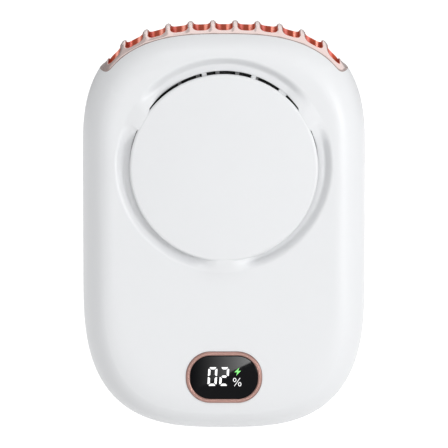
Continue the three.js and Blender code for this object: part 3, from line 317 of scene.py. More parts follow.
# grey for the white guard ribs: painted shade deep in the air slot
guardPaintedShade = finish("guardPaintedShade", (0.33, 0.33, 0.335), 0.6, mottle=0.05, grain=0.2)
innerBlack = finish("innerBlack", (0.006, 0.006, 0.0065), 0.6, mottle=0.2, grain=0.3)
brightSteel = finish("brightSteel", (0.56, 0.57, 0.59), 0.3, metallic=1.0, mottle=0.05, grain=0.2,
                     grainScale=2500)
contactGold = finish("contactGold", (0.75, 0.52, 0.2), 0.3, metallic=1.0, mottle=0.05)
copperWire = finish("copperWire", (0.6, 0.26, 0.12), 0.35, metallic=1.0, mottle=0.1, grain=0.4,
                    grainScale=1500)
ferrite = finish("ferrite", (0.04, 0.04, 0.042), 0.7, mottle=0.3, grain=0.5)
boardGreen = finish("boardGreen", (0.012, 0.10, 0.045), 0.4, mottle=0.15, grain=0.2)
cellWrap = finish("cellWrap", (0.42, 0.45, 0.48), 0.4, metallic=0.6, mottle=0.04, grain=0.3, grainScale=400)
print("finishes made")

# casing
casing = {
    "width": 78 * mm, "height": 112.41 * mm, "depth": 31 * mm,
    "topReach": 36 * mm, "topPower": 2.8,      # rounded ends
    "baseReach": 42 * mm, "basePower": 2.95,
    "edgeWidth": 9 * mm, "edgePower": 2.2,     # rolled edge
    "wall": 1.8 * mm, "segments": 400,
    "rollSteps": 20, "innerSteps": 7,
    "seamGap": 0.16 * mm, "seamRound": 0.2 * mm, "seamPart": 0.3, "seamBack": 0.125 * mm,
}
coverLow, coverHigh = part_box("front_cover")
discLow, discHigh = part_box("intake_disc")
frontY = coverLow.y
midY = frontY + casing["depth"] / 2
backY = frontY + casing["depth"]
bottomZ = coverLow.z
topZ = bottomZ + casing["height"]
axisZ = (discLow.z + discHigh.z) / 2
blowerAxis = Vector((0.0, axisZ))
seamY = coverHigh.y + casing["seamBack"]


def levelOf(x, z, inset):
    # 1 on the outline that is drawn in by the inset, less inside it
    end = "top" if z > (bottomZ + topZ) / 2 else "base"
    reach, power = casing[end + "Reach"], casing[end + "Power"]
    beyond = z - topZ + reach if end == "top" else bottomZ + reach - z
    across = abs(x) / (casing["width"] / 2 - inset)
    along = max(beyond, 0.0) / (reach - inset)
    return across ** power + along ** power


def outlineAt(share, inset):
    # where a ray from the blower axis meets the outline
    angle = share * 2 * math.pi
    low, high = 0.0, casing["height"]
    for _ in range(32):
        reach = (low + high) / 2
        if levelOf(reach * math.cos(angle), axisZ + reach * math.sin(angle), inset) < 1:
            low = reach
        else:
            high = reach
    return Vector((low * math.cos(angle), axisZ + low * math.sin(angle)))


def insetOf(x, z):
    low, high = 0.0, casing["width"] / 2
    for _ in range(36):
        inset = (low + high) / 2
        inside = inset < casing["width"] / 2 - abs(x) and levelOf(x, z, inset) < 1
        low, high = (inset, high) if inside else (low, inset)
    return low


def rollInset(offset, wall=0.0):
    # how far the rolled edge has come in at an offset from the middle of the depth
    share = min(abs(offset) / (casing["depth"] / 2 - wall), 1.0) ** casing["edgePower"]
    return wall + (casing["edgeWidth"] - wall) * (1 - (1 - share) ** (1 / casing["edgePower"]))


def rollOffset(inset, wall=0.0):
    share = 1 - clamped((inset - wall) / (casing["edgeWidth"] - wall))
    power = casing["edgePower"]
    return (casing["depth"] / 2 - wall) * (1 - share ** power) ** (1 / power)


def faceY(x, z, wall=0.0):
    return midY - rollOffset(insetOf(x, z), wall)


def outlineRing(offset, wall=0.0, shrink=0.0):
    inset = rollInset(offset, wall) + shrink
    return lambda share: upright(outlineAt(share, inset), midY + offset)


def seamRings(seam, way):
    # the soft edge of a cover at the seam
    turnIn = casing["seamRound"]
    part = turnIn * casing["seamPart"]
    return [outlineRing(seam, 0.0, turnIn), outlineRing(seam + way * part, 0.0, part)]


def rollRings(start, end, steps, wall=0.0, shrink=0.0):
    # rings spaced evenly round the roll between two offsets
    reach = casing["depth"] / 2 - wall
    power = casing["edgePower"] / 2

    def turnOf(offset):
        return math.copysign(math.asin(min(abs(offset) / reach, 1.0) ** power), offset)

    turns = [turnOf(start) + (turnOf(end) - turnOf(start)) * i / steps for i in range(steps + 1)]
    offsets = [math.copysign(abs(math.sin(t)) ** (1 / power) * reach, t) for t in turns]
    return [outlineRing(offset, wall, shrink) for offset in offsets]


# front cover with its recess and intake
disc = {
    "rimRound": 0.8 * mm, "thickness": 1.6 * mm, "shoulder": 7 * mm, "stem": 4 * mm, "gap": 0.25 * mm,
    "steps": 192, "rimSteps": 6, "backRound": 0.1 * mm,
}
recess = {
    "run": 2.6 * mm, "ring": 1.55 * mm, "lap": 0.15 * mm, "rise": 0.86 * mm, "lift": 0.8 * mm,
    "floor": 2.4 * mm, "steps": 16, "innerSteps": 5, "innerReach": 0.9, "rimClear": 0.25 * mm,
    "faceSteps": 9, "faceStart": 6.4 * mm, "edgeRound": 0.22 * mm, "edgeOut": 1.5, "edgeSteps": 4,
    "hubRadius": 12.5 * mm, "ringRadius": 19 * mm, "arm": 6.6 * mm, "tie": 1.3 * mm, "sunk": 0.1 * mm,
    "armAngles": (30, 150, 270), "ribs": ((22, 2.6 * mm), (42, 1.3 * mm), (72, 1.3 * mm)),
    "armLap": 0.3 * mm, "spiderSoft": 0.2 * mm, "spiderCount": 96,
    "padTurn": (3.0, 18.0), "closeTurn": (6.0, 1.6),   # degrees that are flat, then fade
    "padRise": 0.65 * mm, "padIn": 0.3 * mm,
    "guards": 5, "guardStart": 70, "guardTurn": 12, "guard": 1.1 * mm, "guardDrop": 1.5 * mm,
    "guardSoft": 0.1 * mm,
}
floorBackY = discHigh.y
floorY = floorBackY - recess["floor"]
discRadius = (discHigh.z - discLow.z) / 2
intakeRadius = discRadius - recess["lap"]
stepStart = discRadius + recess["ring"]
stepEnd = stepStart + recess["run"]
spokeEnd = intakeRadius + recess["rise"] + recess["armLap"]
recessLift = Vector((0.0, recess["lift"]))


def stepY(radius, floor, face):
    return floor + (face - floor) * eased(clamped((radius - stepStart) / recess["run"]))


def roundRing(radius, y, centre=blowerAxis):
    return lambda share: upright(circleAt(share, radius) + centre, y)


def armShare(share, flat, fade):
    # 1 on the three arms that run flush from the disc to the face, 0 between them
    away = min(abs((share * 360 - arm + 180) % 360 - 180) for arm in recess["armAngles"])
    return 1 - eased(clamped((away - flat) / fade))


def onPad(share, place, depth):
    # a place in the recess, lifted where an arm crosses it
    out = clamped((place.length - discRadius) / (stepEnd - discRadius))
    level = frontY - recess["padRise"] * (1 - out)
    return upright(place, depth + (level - depth) * armShare(share, *recess["padTurn"]), axisZ)


def wallRing(radius):
    def at(share):
        place = circleAt(share, radius) + recessLift
        return onPad(share, place, max(stepY(radius, floorY, frontY), faceY(place.x, axisZ + place.y)))
    return at


def intakeRing(radius, y):
    # round the edge of the intake, which closes under the disc at the arms
    def at(share):
        closed = armShare(share, *recess["closeTurn"])
        place = circleAt(share, radius - recess["padIn"] * closed)
        place.y += recess["rise"] * (1 - closed)
        return onPad(share, place, y) if y < floorBackY else upright(place, y, axisZ)
    return at


def faceRing(mix):
    # between the rolled edge and the rim of the recess
    def at(share):
        circle = circleAt(share, stepEnd + recess["rimClear"]) + blowerAxis + recessLift
        place = outlineAt(share, recess["faceStart"]).lerp(circle, mix)
        return upright(place, faceY(place.x, place.y))
    return at


def innerStepRing(radius):
    def at(share):
        place = circleAt(share, radius) + blowerAxis + recessLift
        bowl = stepY(radius - casing["wall"], floorBackY, frontY + casing["wall"])
        return upright(place, max(bowl, faceY(place.x, place.y, casing["wall"])))
    return at


def makeFrontCover():
    wall, run, steps = casing["wall"], recess["run"], recess["steps"]
    edge, innerSteps = recess["edgeRound"], recess["innerSteps"]
    seam = seamY - midY - casing["seamGap"] / 2
    rings = seamRings(seam, -1)
    rings += rollRings(seam - casing["seamRound"], -rollOffset(recess["faceStart"]), casing["rollSteps"])
    rings += [faceRing(i / recess["faceSteps"]) for i in range(1, recess["faceSteps"] + 1)]
    rings += [wallRing(stepStart + run * (1 - i / steps)) for i in range(steps + 1)]
    rings += [intakeRing(intakeRadius + edge * recess["edgeOut"], floorY)]
    rings += [intakeRing(intakeRadius + edge * (1 - math.sin(t)), floorY + edge * (1 - math.cos(t)))
              for t in quarterTurns(recess["edgeSteps"])]
    rings += [intakeRing(intakeRadius, floorBackY)]
    rings += [roundRing(stepStart + wall, floorBackY, blowerAxis + recessLift)]
    rings += [innerStepRing(stepStart + wall + run * i / innerSteps) for i in range(1, innerSteps + 1)]
    innerEnd = -rollOffset(recess["faceStart"], wall) * recess["innerReach"]
    rings += rollRings(innerEnd, seam, casing["innerSteps"], wall)
    return loopPiece("front_cover_moulding", casing["segments"], rings, joinEnds=True)


def spokeBar(bm, width, angle, start, end, drop):
    # a bar under the recess, its front a drop below the floor
    bar = addBlock(bm, (end - start, floorBackY - floorY - drop, width), ((start + end) / 2, 0, 0))
    bmesh.ops.rotate(bm, cent=(0, 0, 0), matrix=Matrix.Rotation(-math.radians(angle), 3, "Y"), verts=bar)
    bmesh.ops.translate(bm, vec=(0, (floorY + floorBackY + drop) / 2, axisZ), verts=bar)


def makeIntakeSpider():
    bm = newMesh()
    inside = recess["ringRadius"] - recess["tie"]
    for arm in recess["armAngles"]:
        spokeBar(bm, recess["arm"], arm, recess["hubRadius"] / 2, spokeEnd, recess["sunk"])
        for rib, width in recess["ribs"]:
            spokeBar(bm, width, arm + rib, inside + recess["tie"] / 2, spokeEnd, recess["sunk"])
    for low, high in ((disc["stem"] + disc["gap"], recess["hubRadius"]), (inside, recess["ringRadius"])):
        section = ((low, floorY), (high, floorY), (high, floorBackY), (low, floorBackY))
        loopOf(bm, recess["spiderCount"], [roundRing(*corner) for corner in section], joinEnds=True)
    return asObject(bm, "intake_spider")


def makeIntakeGuard():
    # slim ribs deep in the upper air slot, white plastic given a grey finish as painted shade
    bm = newMesh()
    start = recess["ringRadius"] - recess["sunk"]
    for number in range(recess["guards"]):
        angle = recess["guardStart"] + number * recess["guardTurn"]
        spokeBar(bm, recess["guard"], angle, start, spokeEnd, recess["guardDrop"])
    return asObject(bm, "intake_guard")


# display
display = {
    "corner": 6.8 * mm, "ring": 1.16 * mm, "round": 0.42 * mm, "roundSteps": 5, "pocketGap": 0.05 * mm,
    "seat": 0.02 * mm, "paneGap": 0.03 * mm, "paneRound": 0.12 * mm, "panePart": 0.3, "count": 160,
}
bezelLow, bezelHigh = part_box("display_bezel")
windowLow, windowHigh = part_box("display_window")
displayZ = (bezelLow.z + bezelHigh.z) / 2
bezelSize = Vector((bezelHigh.x - bezelLow.x, bezelHigh.z - bezelLow.z))


def displayRing(inset, y):
    width, height = bezelSize.x - 2 * inset, bezelSize.y - 2 * inset
    return lambda share: upright(roundedAt(share, width, height, display["corner"] - inset), y, displayZ)


# outlet grille
grille = {
    "length": 68.2 * mm, "depth": 21 * mm, "endStretch": 3.1, "endShare": 0.4,
    "slots": 11, "pitch": 6.15 * mm, "rib": 1.5 * mm, "rim": 2.4 * mm, "slotCorner": 1.8 * mm,
    "cornerShare": 0.96, "rise": 0.65 * mm, "crestPower": 10, "acrossPower": 4,
    "round": 0.4 * mm, "roundSteps": 5, "wall": 3.2 * mm, "wallSteps": 4, "gap": 0.45 * mm,
    "slotCount": 112, "rimCount": 480, "fineEdge": 0.8 * mm, "fineRounds": 3,
    "endDip": 0.7 * mm, "dipStart": 30.6 * mm, "dipRun": 6 * mm,
    "lining": 0.06 * mm, "liningLip": 0.1 * mm, "liningLean": 0.36,
    "flangeDrop": 0.06 * mm, "flangeLap": 0.1 * mm, "flangeWall": 0.8 * mm,
    # painted reflections in the openings: half width of each bright band, and its place and colour
    "paintedSheenHalf": 0.9 * mm, "paintedSheenBands": ((-1.4 * mm, (0.88, 0.25, 0.21)), (1.25 * mm, (0.97, 0.42, 0.33))),
}


def topHeight(x, y):
    roll = rollInset(y - midY)
    reach, power = casing["topReach"], casing["topPower"]
    share = min(abs(x) / (casing["width"] / 2 - roll), 1.0) ** power
    return topZ - reach + (reach - roll) * (1 - share) ** (1 / power)


def endDip(x, y):
    # the end walls lie a little lower towards the back
    along = clamped((abs(x) - grille["dipStart"]) / (grille["length"] / 2 - grille["dipStart"]))
    back = clamped(1 + (y - midY) / grille["dipRun"])
    return grille["endDip"] * math.sin(math.pi * along) ** 2 * eased(back)


def crestHeight(x, y):
    # follows the casing's top and swells into a crest along every rib
    along = x / grille["pitch"] + grille["slots"] / 2
    betweenSlots = abs(x) < (grille["slots"] - 1) / 2 * grille["pitch"]
    crest = abs(math.cos(math.pi * along)) ** grille["crestPower"] if betweenSlots else 0.0
    across = max(1 - abs(2 * (y - midY) / grille["depth"]) ** grille["acrossPower"], 0.0)
    return topHeight(x, y) + grille["rise"] * crest * across - endDip(x, y)


def liftToTop(bm):
    # from the flat on to the casing's curve
    for vert in bm.verts:
        vert.co.z += crestHeight(vert.co.x, vert.co.y)


def rimRing(inset, z):
    # straight along the casing, with a short oval end
    stretch = grille["endStretch"]
    length, depth = grille["length"] - 2 * inset * grille["endShare"], grille["depth"] - 2 * inset

    def at(share):
        place = roundedAt(share, length * stretch, depth)
        return Vector((place.x / stretch, midY + place.y, z))
    return at


def slotSpan(number):
    # the sides of an opening; the end ones stop at the rim
    middle = (number - (grille["slots"] - 1) / 2) * grille["pitch"]
    half = (grille["pitch"] - grille["rib"]) / 2
    limit = grille["length"] / 2 - grille["rim"]
    return max(middle - half, -limit), min(middle + half, limit)


def slotRing(number, grow, drop, lean=0.0):
    # one opening, grown towards its rounded lip; its back may lean as it goes down
    left, right = slotSpan(number)
    depth = grille["depth"] - 2 * grille["rim"]
    corner = min(grille["slotCorner"], (right - left) / 2 * grille["cornerShare"])

    def at(share):
        place = roundedAt(share, right - left + 2 * grow, depth + 2 * grow, corner + grow)
        back = max(place.y, 0.0) / (depth / 2 + grow)
        return Vector(((left + right) / 2 + place.x, midY + place.y - lean * drop * back, -drop))
    return at


def lipSteps():
    # growth and drop round the soft lip, from the wall to the top
    soft = grille["round"]
    return [(soft * (1 - math.cos(t)), soft * (1 - math.sin(t))) for t in quarterTurns(grille["roundSteps"])]


def flatFaces(bm):
    return [f for f in bm.faces if all(abs(v.co.z) < 1e-7 for v in f.verts)]


def edgesWithin(faces):
    # edges with these faces on both sides, in a fixed order
    known = set(faces)
    edges = dict.fromkeys(e for f in faces for e in f.edges)
    return [e for e in edges if all(f in known for f in e.link_faces)]


def makeGrille():
    bm = newMesh()
    lip, wall, steps = lipSteps(), grille["wall"], grille["wallSteps"]
    loops = []
    for number in range(grille["slots"]):
        rings = [slotRing(number, 0.0, wall * (1 - i / steps)) for i in range(steps)]
        rings += [slotRing(number, grow, drop) for grow, drop in lip]
        loops.append(loopOf(bm, grille["slotCount"], rings))
    rings = [rimRing(grille["gap"], -wall)]
    rings += [rimRing(grille["gap"] + grow, -drop) for grow, drop in lip]
    loops.append(loopOf(bm, grille["rimCount"], rings))
    # filled and refined while flat
    for bounds in zip(*loops):
        bmesh.ops.triangle_fill(bm, edges=sum(bounds, []), normal=(0, 0, 1), use_beauty=True)
    for _ in range(grille["fineRounds"]):
        coarse = [e for e in edgesWithin(flatFaces(bm)) if e.calc_length() > grille["fineEdge"]]
        bmesh.ops.subdivide_edges(bm, edges=coarse, cuts=1)
        flat = bmesh.ops.triangulate(bm, faces=flatFaces(bm))["faces"]
        bmesh.ops.beautify_fill(bm, faces=flat, edges=edgesWithin(flat))
    liftToTop(bm)
    return asObject(bm, "outlet_grille_plated")


def makeGrilleLining():
    # a deeper-coloured sleeve inside every opening
    bm = newMesh()
    thin, lip, wall, steps = grille["lining"], grille["liningLip"], grille["wall"], grille["wallSteps"]
    drops = [lip + (wall - lip) * i / steps for i in range(steps + 1)]
    for number in range(grille["slots"]):
        rings = [slotRing(number, -thin, drop, grille["liningLean"]) for drop in drops]
        rings += [slotRing(number, thin, wall), slotRing(number, thin, lip)]
        loopOf(bm, grille["slotCount"], rings, joinEnds=True)
    liftToTop(bm)
    return asObject(bm, "grille_lining")


def makeGrilleFlange():
    # the grille's edge under the casing, seen at the bottom of the seam; its darker copy of the rose gold is
    # painted shade
    bm = newMesh()
    lap, inside = -grille["flangeLap"], grille["gap"] + grille["flangeLap"]
    top, under = -grille["flangeDrop"], -grille["flangeDrop"] - grille["flangeWall"]
    rings = [rimRing(lap, top), rimRing(inside, top), rimRing(inside, under), rimRing(lap, under)]
    loopOf(bm, grille["rimCount"], rings, joinEnds=True)
    liftToTop(bm)
    return asObject(bm, "grille_flange")


def grilleCutter():
    bm = newMesh()
    low, high = topZ - casing["topReach"], topZ + casing["depth"]
    prism(bm, grille["rimCount"], lambda z: rimRing(0.0, z), low, high)
    return asObject(bm, "grille_cutter")


# bottom inlet and side button openings
inlet = {
    "gap": 0.12 * mm, "wall": 0.3 * mm, "round": 0.1 * mm, "count": 64,
    "pads": 8, "padSpan": 8.6, "padShare": 0.55, "padLength": 3.2 * mm, "padThick": 0.04 * mm,
    "padOut": 0.36 * mm, "padUp": 2 * mm,
}
button = {
    "length": 10 * mm, "width": 4.4 * mm, "gap": 0.15 * mm, "sunk": 0.3 * mm, "count": 72,
    "round": 0.5 * mm, "roundSteps": 5, "roundShare": 0.2, "crown": (0.6, 0.4, 0.2, 0.05),
    "flange": 1 * mm, "flangeGap": 0.25 * mm, "flangeStep": 0.2 * mm,
    "stem": 1.3 * mm, "stemBack": 0.5 * mm, "stemCount": 32,
}
usbLow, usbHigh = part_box("usb_shell")
buttonLow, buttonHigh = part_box("power_button")
usbSize = Vector((usbHigh.x - usbLow.x, usbHigh.y - usbLow.y))
usbY = (usbLow.y + usbHigh.y) / 2
buttonZ = (buttonLow.z + buttonHigh.z) / 2


def usbRing(grow, z):
    def at(share):
        place = roundedAt(share, usbSize.x + 2 * grow, usbSize.y + 2 * grow)
        return Vector((place.x, usbY + place.y, z))
    return at


def buttonRing(grow, x):
    def at(share):
        place = roundedAt(share, button["width"] + 2 * grow, button["length"] + 2 * grow)
        return Vector((x, midY + place.x, buttonZ + place.y))
    return at


def frontCutter():
    bm = newMesh()
    gap = display["pocketGap"]
    prism(bm, display["count"], lambda y: displayRing(-gap, y), frontY - cutClear, bezelHigh.y)
    prism(bm, inlet["count"], lambda z: usbRing(inlet["gap"], z), bottomZ - cutClear, usbHigh.z)
    prism(bm, button["count"], lambda x: buttonRing(button["gap"], x), casing["width"] / 3, casing["width"])
    return asObject(bm, "front_cutter")


frontCover = makeFrontCover()
carve(frontCover, frontCutter())
carve(frontCover, grilleCutter())
settle(frontCover, "casing", shellWhite, ["front_cover"])
spider = makeIntakeSpider()
soften(spider, recess["spiderSoft"])
settle(spider, "casing", shellWhite)
guard = makeIntakeGuard()
soften(guard, recess["guardSoft"])
settle(guard, "casing", guardPaintedShade)
print("front cover made")

settle(makeGrille(), "casing", roseGold, ["outlet_grille"], angle=50)
# bright bands painted on the lining stand in for reflections inside the pockets
addPaintedSheenBands(copperLining, grille["pitch"], grille["paintedSheenHalf"], grille["paintedSheenBands"])
settle(makeGrilleLining(), "casing", copperLining, angle=50)
settle(makeGrilleFlange(), "casing", flangePaintedShade, angle=50)
print("outlet grille made")


# intake disc
def makeDisc():
    soft, stem, shoulder = disc["rimRound"], disc["stem"], disc["shoulder"]
    back, seat = discLow.y + disc["thickness"], floorY - disc["gap"]
    profile = [(0.0, discLow.y)]
    profile += [(discRadius - soft + soft * math.sin(t), discLow.y + soft - soft * math.cos(t))
                for t in quarterTurns(disc["rimSteps"])]
    profile += [(discRadius, back - disc["backRound"]), (discRadius - disc["backRound"], back)]
    profile += [(shoulder, back), (shoulder, seat), (stem, seat), (stem, discHigh.y), (0.0, discHigh.y)]
    points = [(r, y, axisZ) for r, y in profile]
    return turned("intake_disc_moulding", points, (0, 0, axisZ), (0, 1, 0), disc["steps"])


settle(makeDisc(), "casing", shellWhite, ["intake_disc"])


# bezel and window
def makeBezel():
    soft, ring, seat = display["round"], display["ring"], bezelHigh.y - display["seat"]
    lip = [(soft * (1 - math.cos(t)), bezelLow.y + soft * (1 - math.sin(t)))
           for t in quarterTurns(display["roundSteps"])]
    rings = [displayRing(0.0, seat)]
    rings += [displayRing(inset, y) for inset, y in lip]
    rings += [displayRing(ring - inset, y) for inset, y in reversed(lip)]
    rings += [displayRing(ring, seat)]
    return loopPiece("bezel_ring", display["count"], rings, joinEnds=True)


def makeWindow():
    inset, soft = display["ring"] + display["paneGap"], display["paneRound"]
    part = soft * display["panePart"]
    steps = ((inset, windowHigh.y - display["seat"]), (inset, windowLow.y + soft),
             (inset + part, windowLow.y + part), (inset + soft, windowLow.y))
    rings = [displayRing(*step) for step in steps]
    return loopPiece("window_pane", display["count"], rings, capStart=True, capEnd=True)


settle(makeBezel(), "casing", roseBezel, ["display_bezel"])
settle(makeWindow(), "casing", windowBlack, ["display_window"], angle=12)
print("disc, bezel and window made")

# figures on the display
figures = {
    "width": 2.5 * mm, "height": 5.2 * mm, "stroke": 0.62 * mm, "gap": 0.19 * mm, "cut": 0.4 * mm,
    "slant": 0.06, "deep": 0.04 * mm, "up": 0.25 * mm,
    "places": ((-3.16 * mm, "abcdef"), (0.06 * mm, "abged")),
    "percentPlace": (3.62 * mm, -1.3 * mm), "percentSize": 2.3 * mm, "percentStroke": 0.17 * mm,
    "percentLean": 0.62, "ringPlace": (0.6, -0.52), "ringSize": (0.32, 0.42), "ringCount": 32,
    "boltPlace": (3.75 * mm, 1.6 * mm), "boltSize": (1.75 * mm, 2.3 * mm),
    "boltShape": ((0.45, 1), (-1, -0.14), (-0.06, -0.14), (-0.45, -1), (1, 0.2), (0.12, 0.2)),
}
figuresY = windowLow.y - figures["deep"]


def flatFigure(bm, points, place):
    # a thin plate in front of the window, leaning with the figures
    corners = [(place[0] + u + figures["slant"] * v, figuresY, displayZ + place[1] + v) for u, v in points]
    drawOut(bm, corners, (0, figures["deep"], 0))


def segmentPoints(letter):
    w, h, t, g = figures["width"] / 2, figures["height"] / 2, figures["stroke"], figures["gap"]
    c = figures["cut"]
    bar = [(-w + c, h), (w - c, h), (w - c / 2 - g, h - c / 2), (w - t - g, h - t), (-w + t + g, h - t),
           (-w + c / 2 + g, h - c / 2)]
    side = [(w - c / 2, h - c / 2 - g), (w, h - c - g), (w, g), (w - t / 2, g), (w - t, t / 2 + g),
            (w - t, h - t - g)]
    middle = [(-w + g + t / 2, 0), (-w + t + g, t / 2), (w - t - g, t / 2), (w - t / 2 - g, 0),
              (w - t - g, -t / 2), (-w + t + g, -t / 2)]
    shape = {"a": bar, "d": bar, "g": middle}.get(letter, side)
    flipU = -1 if letter in "ef" else 1
    flipV = -1 if letter in "cde" else 1
    return [(u * flipU, v * flipV) for u, v in shape]


def ovalRing(place, radii, y):
    def at(share):
        around = circleAt(share, 1.0)
        return upright(place + around * radii, y, displayZ)
    return at


def makeDigits():
    bm = newMesh()
    for across, letters in figures["places"]:
        for letter in letters:
            flatFigure(bm, segmentPoints(letter), (across, figures["up"]))
    # percent sign: a leaning bar and two small rings
    half, stroke = figures["percentSize"] / 2, figures["percentStroke"] / 2
    lean = half * figures["percentLean"]
    bar = [(-lean - stroke, -half), (-lean + stroke, -half), (lean + stroke, half), (lean - stroke, half)]
    flatFigure(bm, bar, figures["percentPlace"])
    radii, line = Vector(figures["ringSize"]) * half, Vector((stroke, stroke))
    section = ((-1, figuresY), (1, figuresY), (1, windowLow.y), (-1, windowLow.y))
    for side in (-1, 1):
        place = Vector(figures["percentPlace"]) + Vector(figures["ringPlace"]) * half * side
        rings = [ovalRing(place, radii + line * grow, y) for grow, y in section]
        loopOf(bm, figures["ringCount"], rings, joinEnds=True)
    return asObject(bm, "display_digits")


def makeBolt():
    bm = newMesh()
    width, height = figures["boltSize"]
    flatFigure(bm, [(u * width / 2, v * height / 2) for u, v in figures["boltShape"]], figures["boltPlace"])
    return asObject(bm, "display_bolt")


settle(makeDigits(), "casing", digitWhite)
settle(makeBolt(), "casing", boltGreen)
print("display figures made")

# rear cover
rear = {
    "slots": 16, "slotStart": 90, "slotWidth": 2 * mm, "slotInner": 9.5 * mm, "slotOuter": 21 * mm,
    "chamfer": 0.3 * mm, "slotCount": 40, "holeCount": 40, "holeRadius": 2.25 * mm, "bossWall": 0.9 * mm,
    "bossGap": 0.1 * mm, "bossLap": 0.3, "shaftHole": 1.25 * mm, "screwSeat": 1.5 * mm,
    "flatInset": 10.5 * mm,
}
screwBoxes = [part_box(f"case_screw_{number}") for number in (1, 2, 3, 4)]
screwHeads = [Vector(((low.x + high.x) / 2, high.y, (low.z + high.z) / 2)) for low, high in screwBoxes]


def rearSlotRing(angle, grow, y):
    length = rear["slotOuter"] - rear["slotInner"]
    turn = Matrix.Rotation(math.radians(angle), 2)
    middle = Vector((rear["slotInner"] + length / 2, 0))

    def at(share):
        place = roundedAt(share, length + 2 * grow, rear["slotWidth"] + 2 * grow)
        return upright(turn @ (place + middle), y, axisZ)
    return at


def makeRearCover():
    wall, half = casing["wall"], casing["depth"] / 2
    seam = seamY - midY + casing["seamGap"] / 2
    flat = rear["flatInset"] - casing["edgeWidth"]
    rings = [outlineRing(half, 0.0, flat)]
    rings += rollRings(half, seam + casing["seamRound"], casing["rollSteps"])
    rings += reversed(seamRings(seam, 1))
    rings += rollRings(seam, half - wall, casing["innerSteps"], wall)
    rings += [outlineRing(half - wall, wall, flat)]
    return loopPiece("rear_cover_moulding", casing["segments"], rings, capStart=True, capEnd=True)


def rearCutter():
    bm = newMesh()
    deep, chamfer = 2 * casing["wall"], rear["chamfer"]
    section = ((0.0, -deep), (0.0, -chamfer), (chamfer, 0.0), (chamfer * 2, chamfer))
    for number in range(rear["slots"]):
        angle = rear["slotStart"] + number * 360 / rear["slots"]
        rings = [rearSlotRing(angle, grow, backY + out) for grow, out in section]
        loopOf(bm, rear["slotCount"], rings, capStart=True, capEnd=True)
    for head in screwHeads:
        prism(bm, rear["holeCount"], lambda y: roundRing(rear["holeRadius"], y, head.xz),
              backY - 3 * deep, backY + deep)
    return asObject(bm, "rear_cutter")


def makeRearBosses():
    bm = newMesh()
    hole, shaft, foot = rear["holeRadius"], rear["shaftHole"], seamY + rear["bossGap"]
    outside = hole + rear["bossWall"]
    for head in screwHeads:
        seat = head.y - rear["screwSeat"]
        reach = midY + rollOffset(insetOf(head.x, head.z), casing["wall"]) + casing["wall"] * rear["bossLap"]
        section = ((outside, reach), (outside, foot), (shaft, foot), (shaft, seat), (hole, seat),
                   (hole, reach))
        rings = [roundRing(radius, y, head.xz) for radius, y in section]
        loopOf(bm, rear["holeCount"], rings, joinEnds=True)
    return asObject(bm, "rear_bosses")


# clip, its lugs, pin and spring
clip = {
    "wall": 2.2 * mm, "jawLip": 4.5 * mm, "jawRamp": 7 * mm, "jawUp": 4.5 * mm, "room": 5.5 * mm,
    "bend": 1.6 * mm, "jawBend": 0.9 * mm, "jawHollow": 0.3 * mm, "bendSteps": 6,
    "corner": 3.6 * mm, "lipCorner": 2.4 * mm, "soft": 0.4 * mm,
    "knuckle": 2.2 * mm, "foot": 2, "knuckleSoft": 0.25 * mm, "bore": 1.3 * mm, "count": 40,
    "lugWidth": 2.5 * mm, "lugCentre": 7.4 * mm, "earGap": 0.25 * mm, "earStep": 0.2 * mm, "pinSoft": 0.25,
    "grooves": 5, "groovePitch": 1.5 * mm, "grooveLow": 2.4 * mm, "grooveOut": 0.15 * mm,
    "grooveHalf": (7 * mm, 0.6 * mm, 0.6 * mm),
    "springRadius": 1.9 * mm, "springWire": 0.35 * mm, "springTurns": 2.5, "springSteps": 64,
    "springWidth": 6 * mm, "springLeg": 6.6 * mm, "springGap": 0.25 * mm, "springLap": 20,
}
clipLow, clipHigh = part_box("belt_clip")
pinLow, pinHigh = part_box("clip_pin")
hingeY, hingeZ = (pinLow.y + pinHigh.y) / 2, (pinLow.z + pinHigh.z) / 2


def knuckleHull(name, xLow, xHigh, baseY):
    # round at the hinge and running out to a wide foot
    bm = bmesh.new()
    for x in (xLow, xHigh):
        verts = bmesh.ops.create_circle(bm, segments=clip["count"], radius=clip["knuckle"])["verts"]
        bmesh.ops.rotate(bm, cent=(0, 0, 0), matrix=Matrix.Rotation(math.pi / 2, 3, "Y"), verts=verts)
        bmesh.ops.translate(bm, vec=(x, hingeY, hingeZ), verts=verts)
        for side in (-clip["foot"], clip["foot"]):
            bm.verts.new((x, baseY, hingeZ + side * clip["knuckle"]))
    hull = bmesh.ops.convex_hull(bm, input=bm.verts[:])
    spare = [g for g in hull["geom_interior"] + hull["geom_unused"] if isinstance(g, bmesh.types.BMVert)]
    bmesh.ops.delete(bm, geom=spare, context="VERTS")
    bmesh.ops.dissolve_limit(bm, angle_limit=math.radians(1), verts=bm.verts[:], edges=bm.edges[:])
    return asObject(bm, name)


def hingeBore():
    bm = newMesh()

    def ringAt(x):
        def at(share):
            place = circleAt(share, clip["bore"])
            return Vector((x, hingeY + place.x, hingeZ + place.y))
        return at

    prism(bm, clip["count"], ringAt, 2 * clipLow.x, 2 * clipHigh.x)
    return asObject(bm, "hinge_bore")


def offsetPath(path, distance):
    # the path moved sideways, with mitred bends
    moved = []
    for number, point in enumerate(path):
        before = path[number] - path[number - 1] if number else path[1] - path[0]
        after = path[number + 1] - path[number] if number < len(path) - 1 else before
        before, after = before.normalized(), after.normalized()
        normal = Vector((before.y + after.y, -before.x - after.x)).normalized()
        moved.append(point + normal * distance / (normal.x * before.y - normal.y * before.x))
    return moved


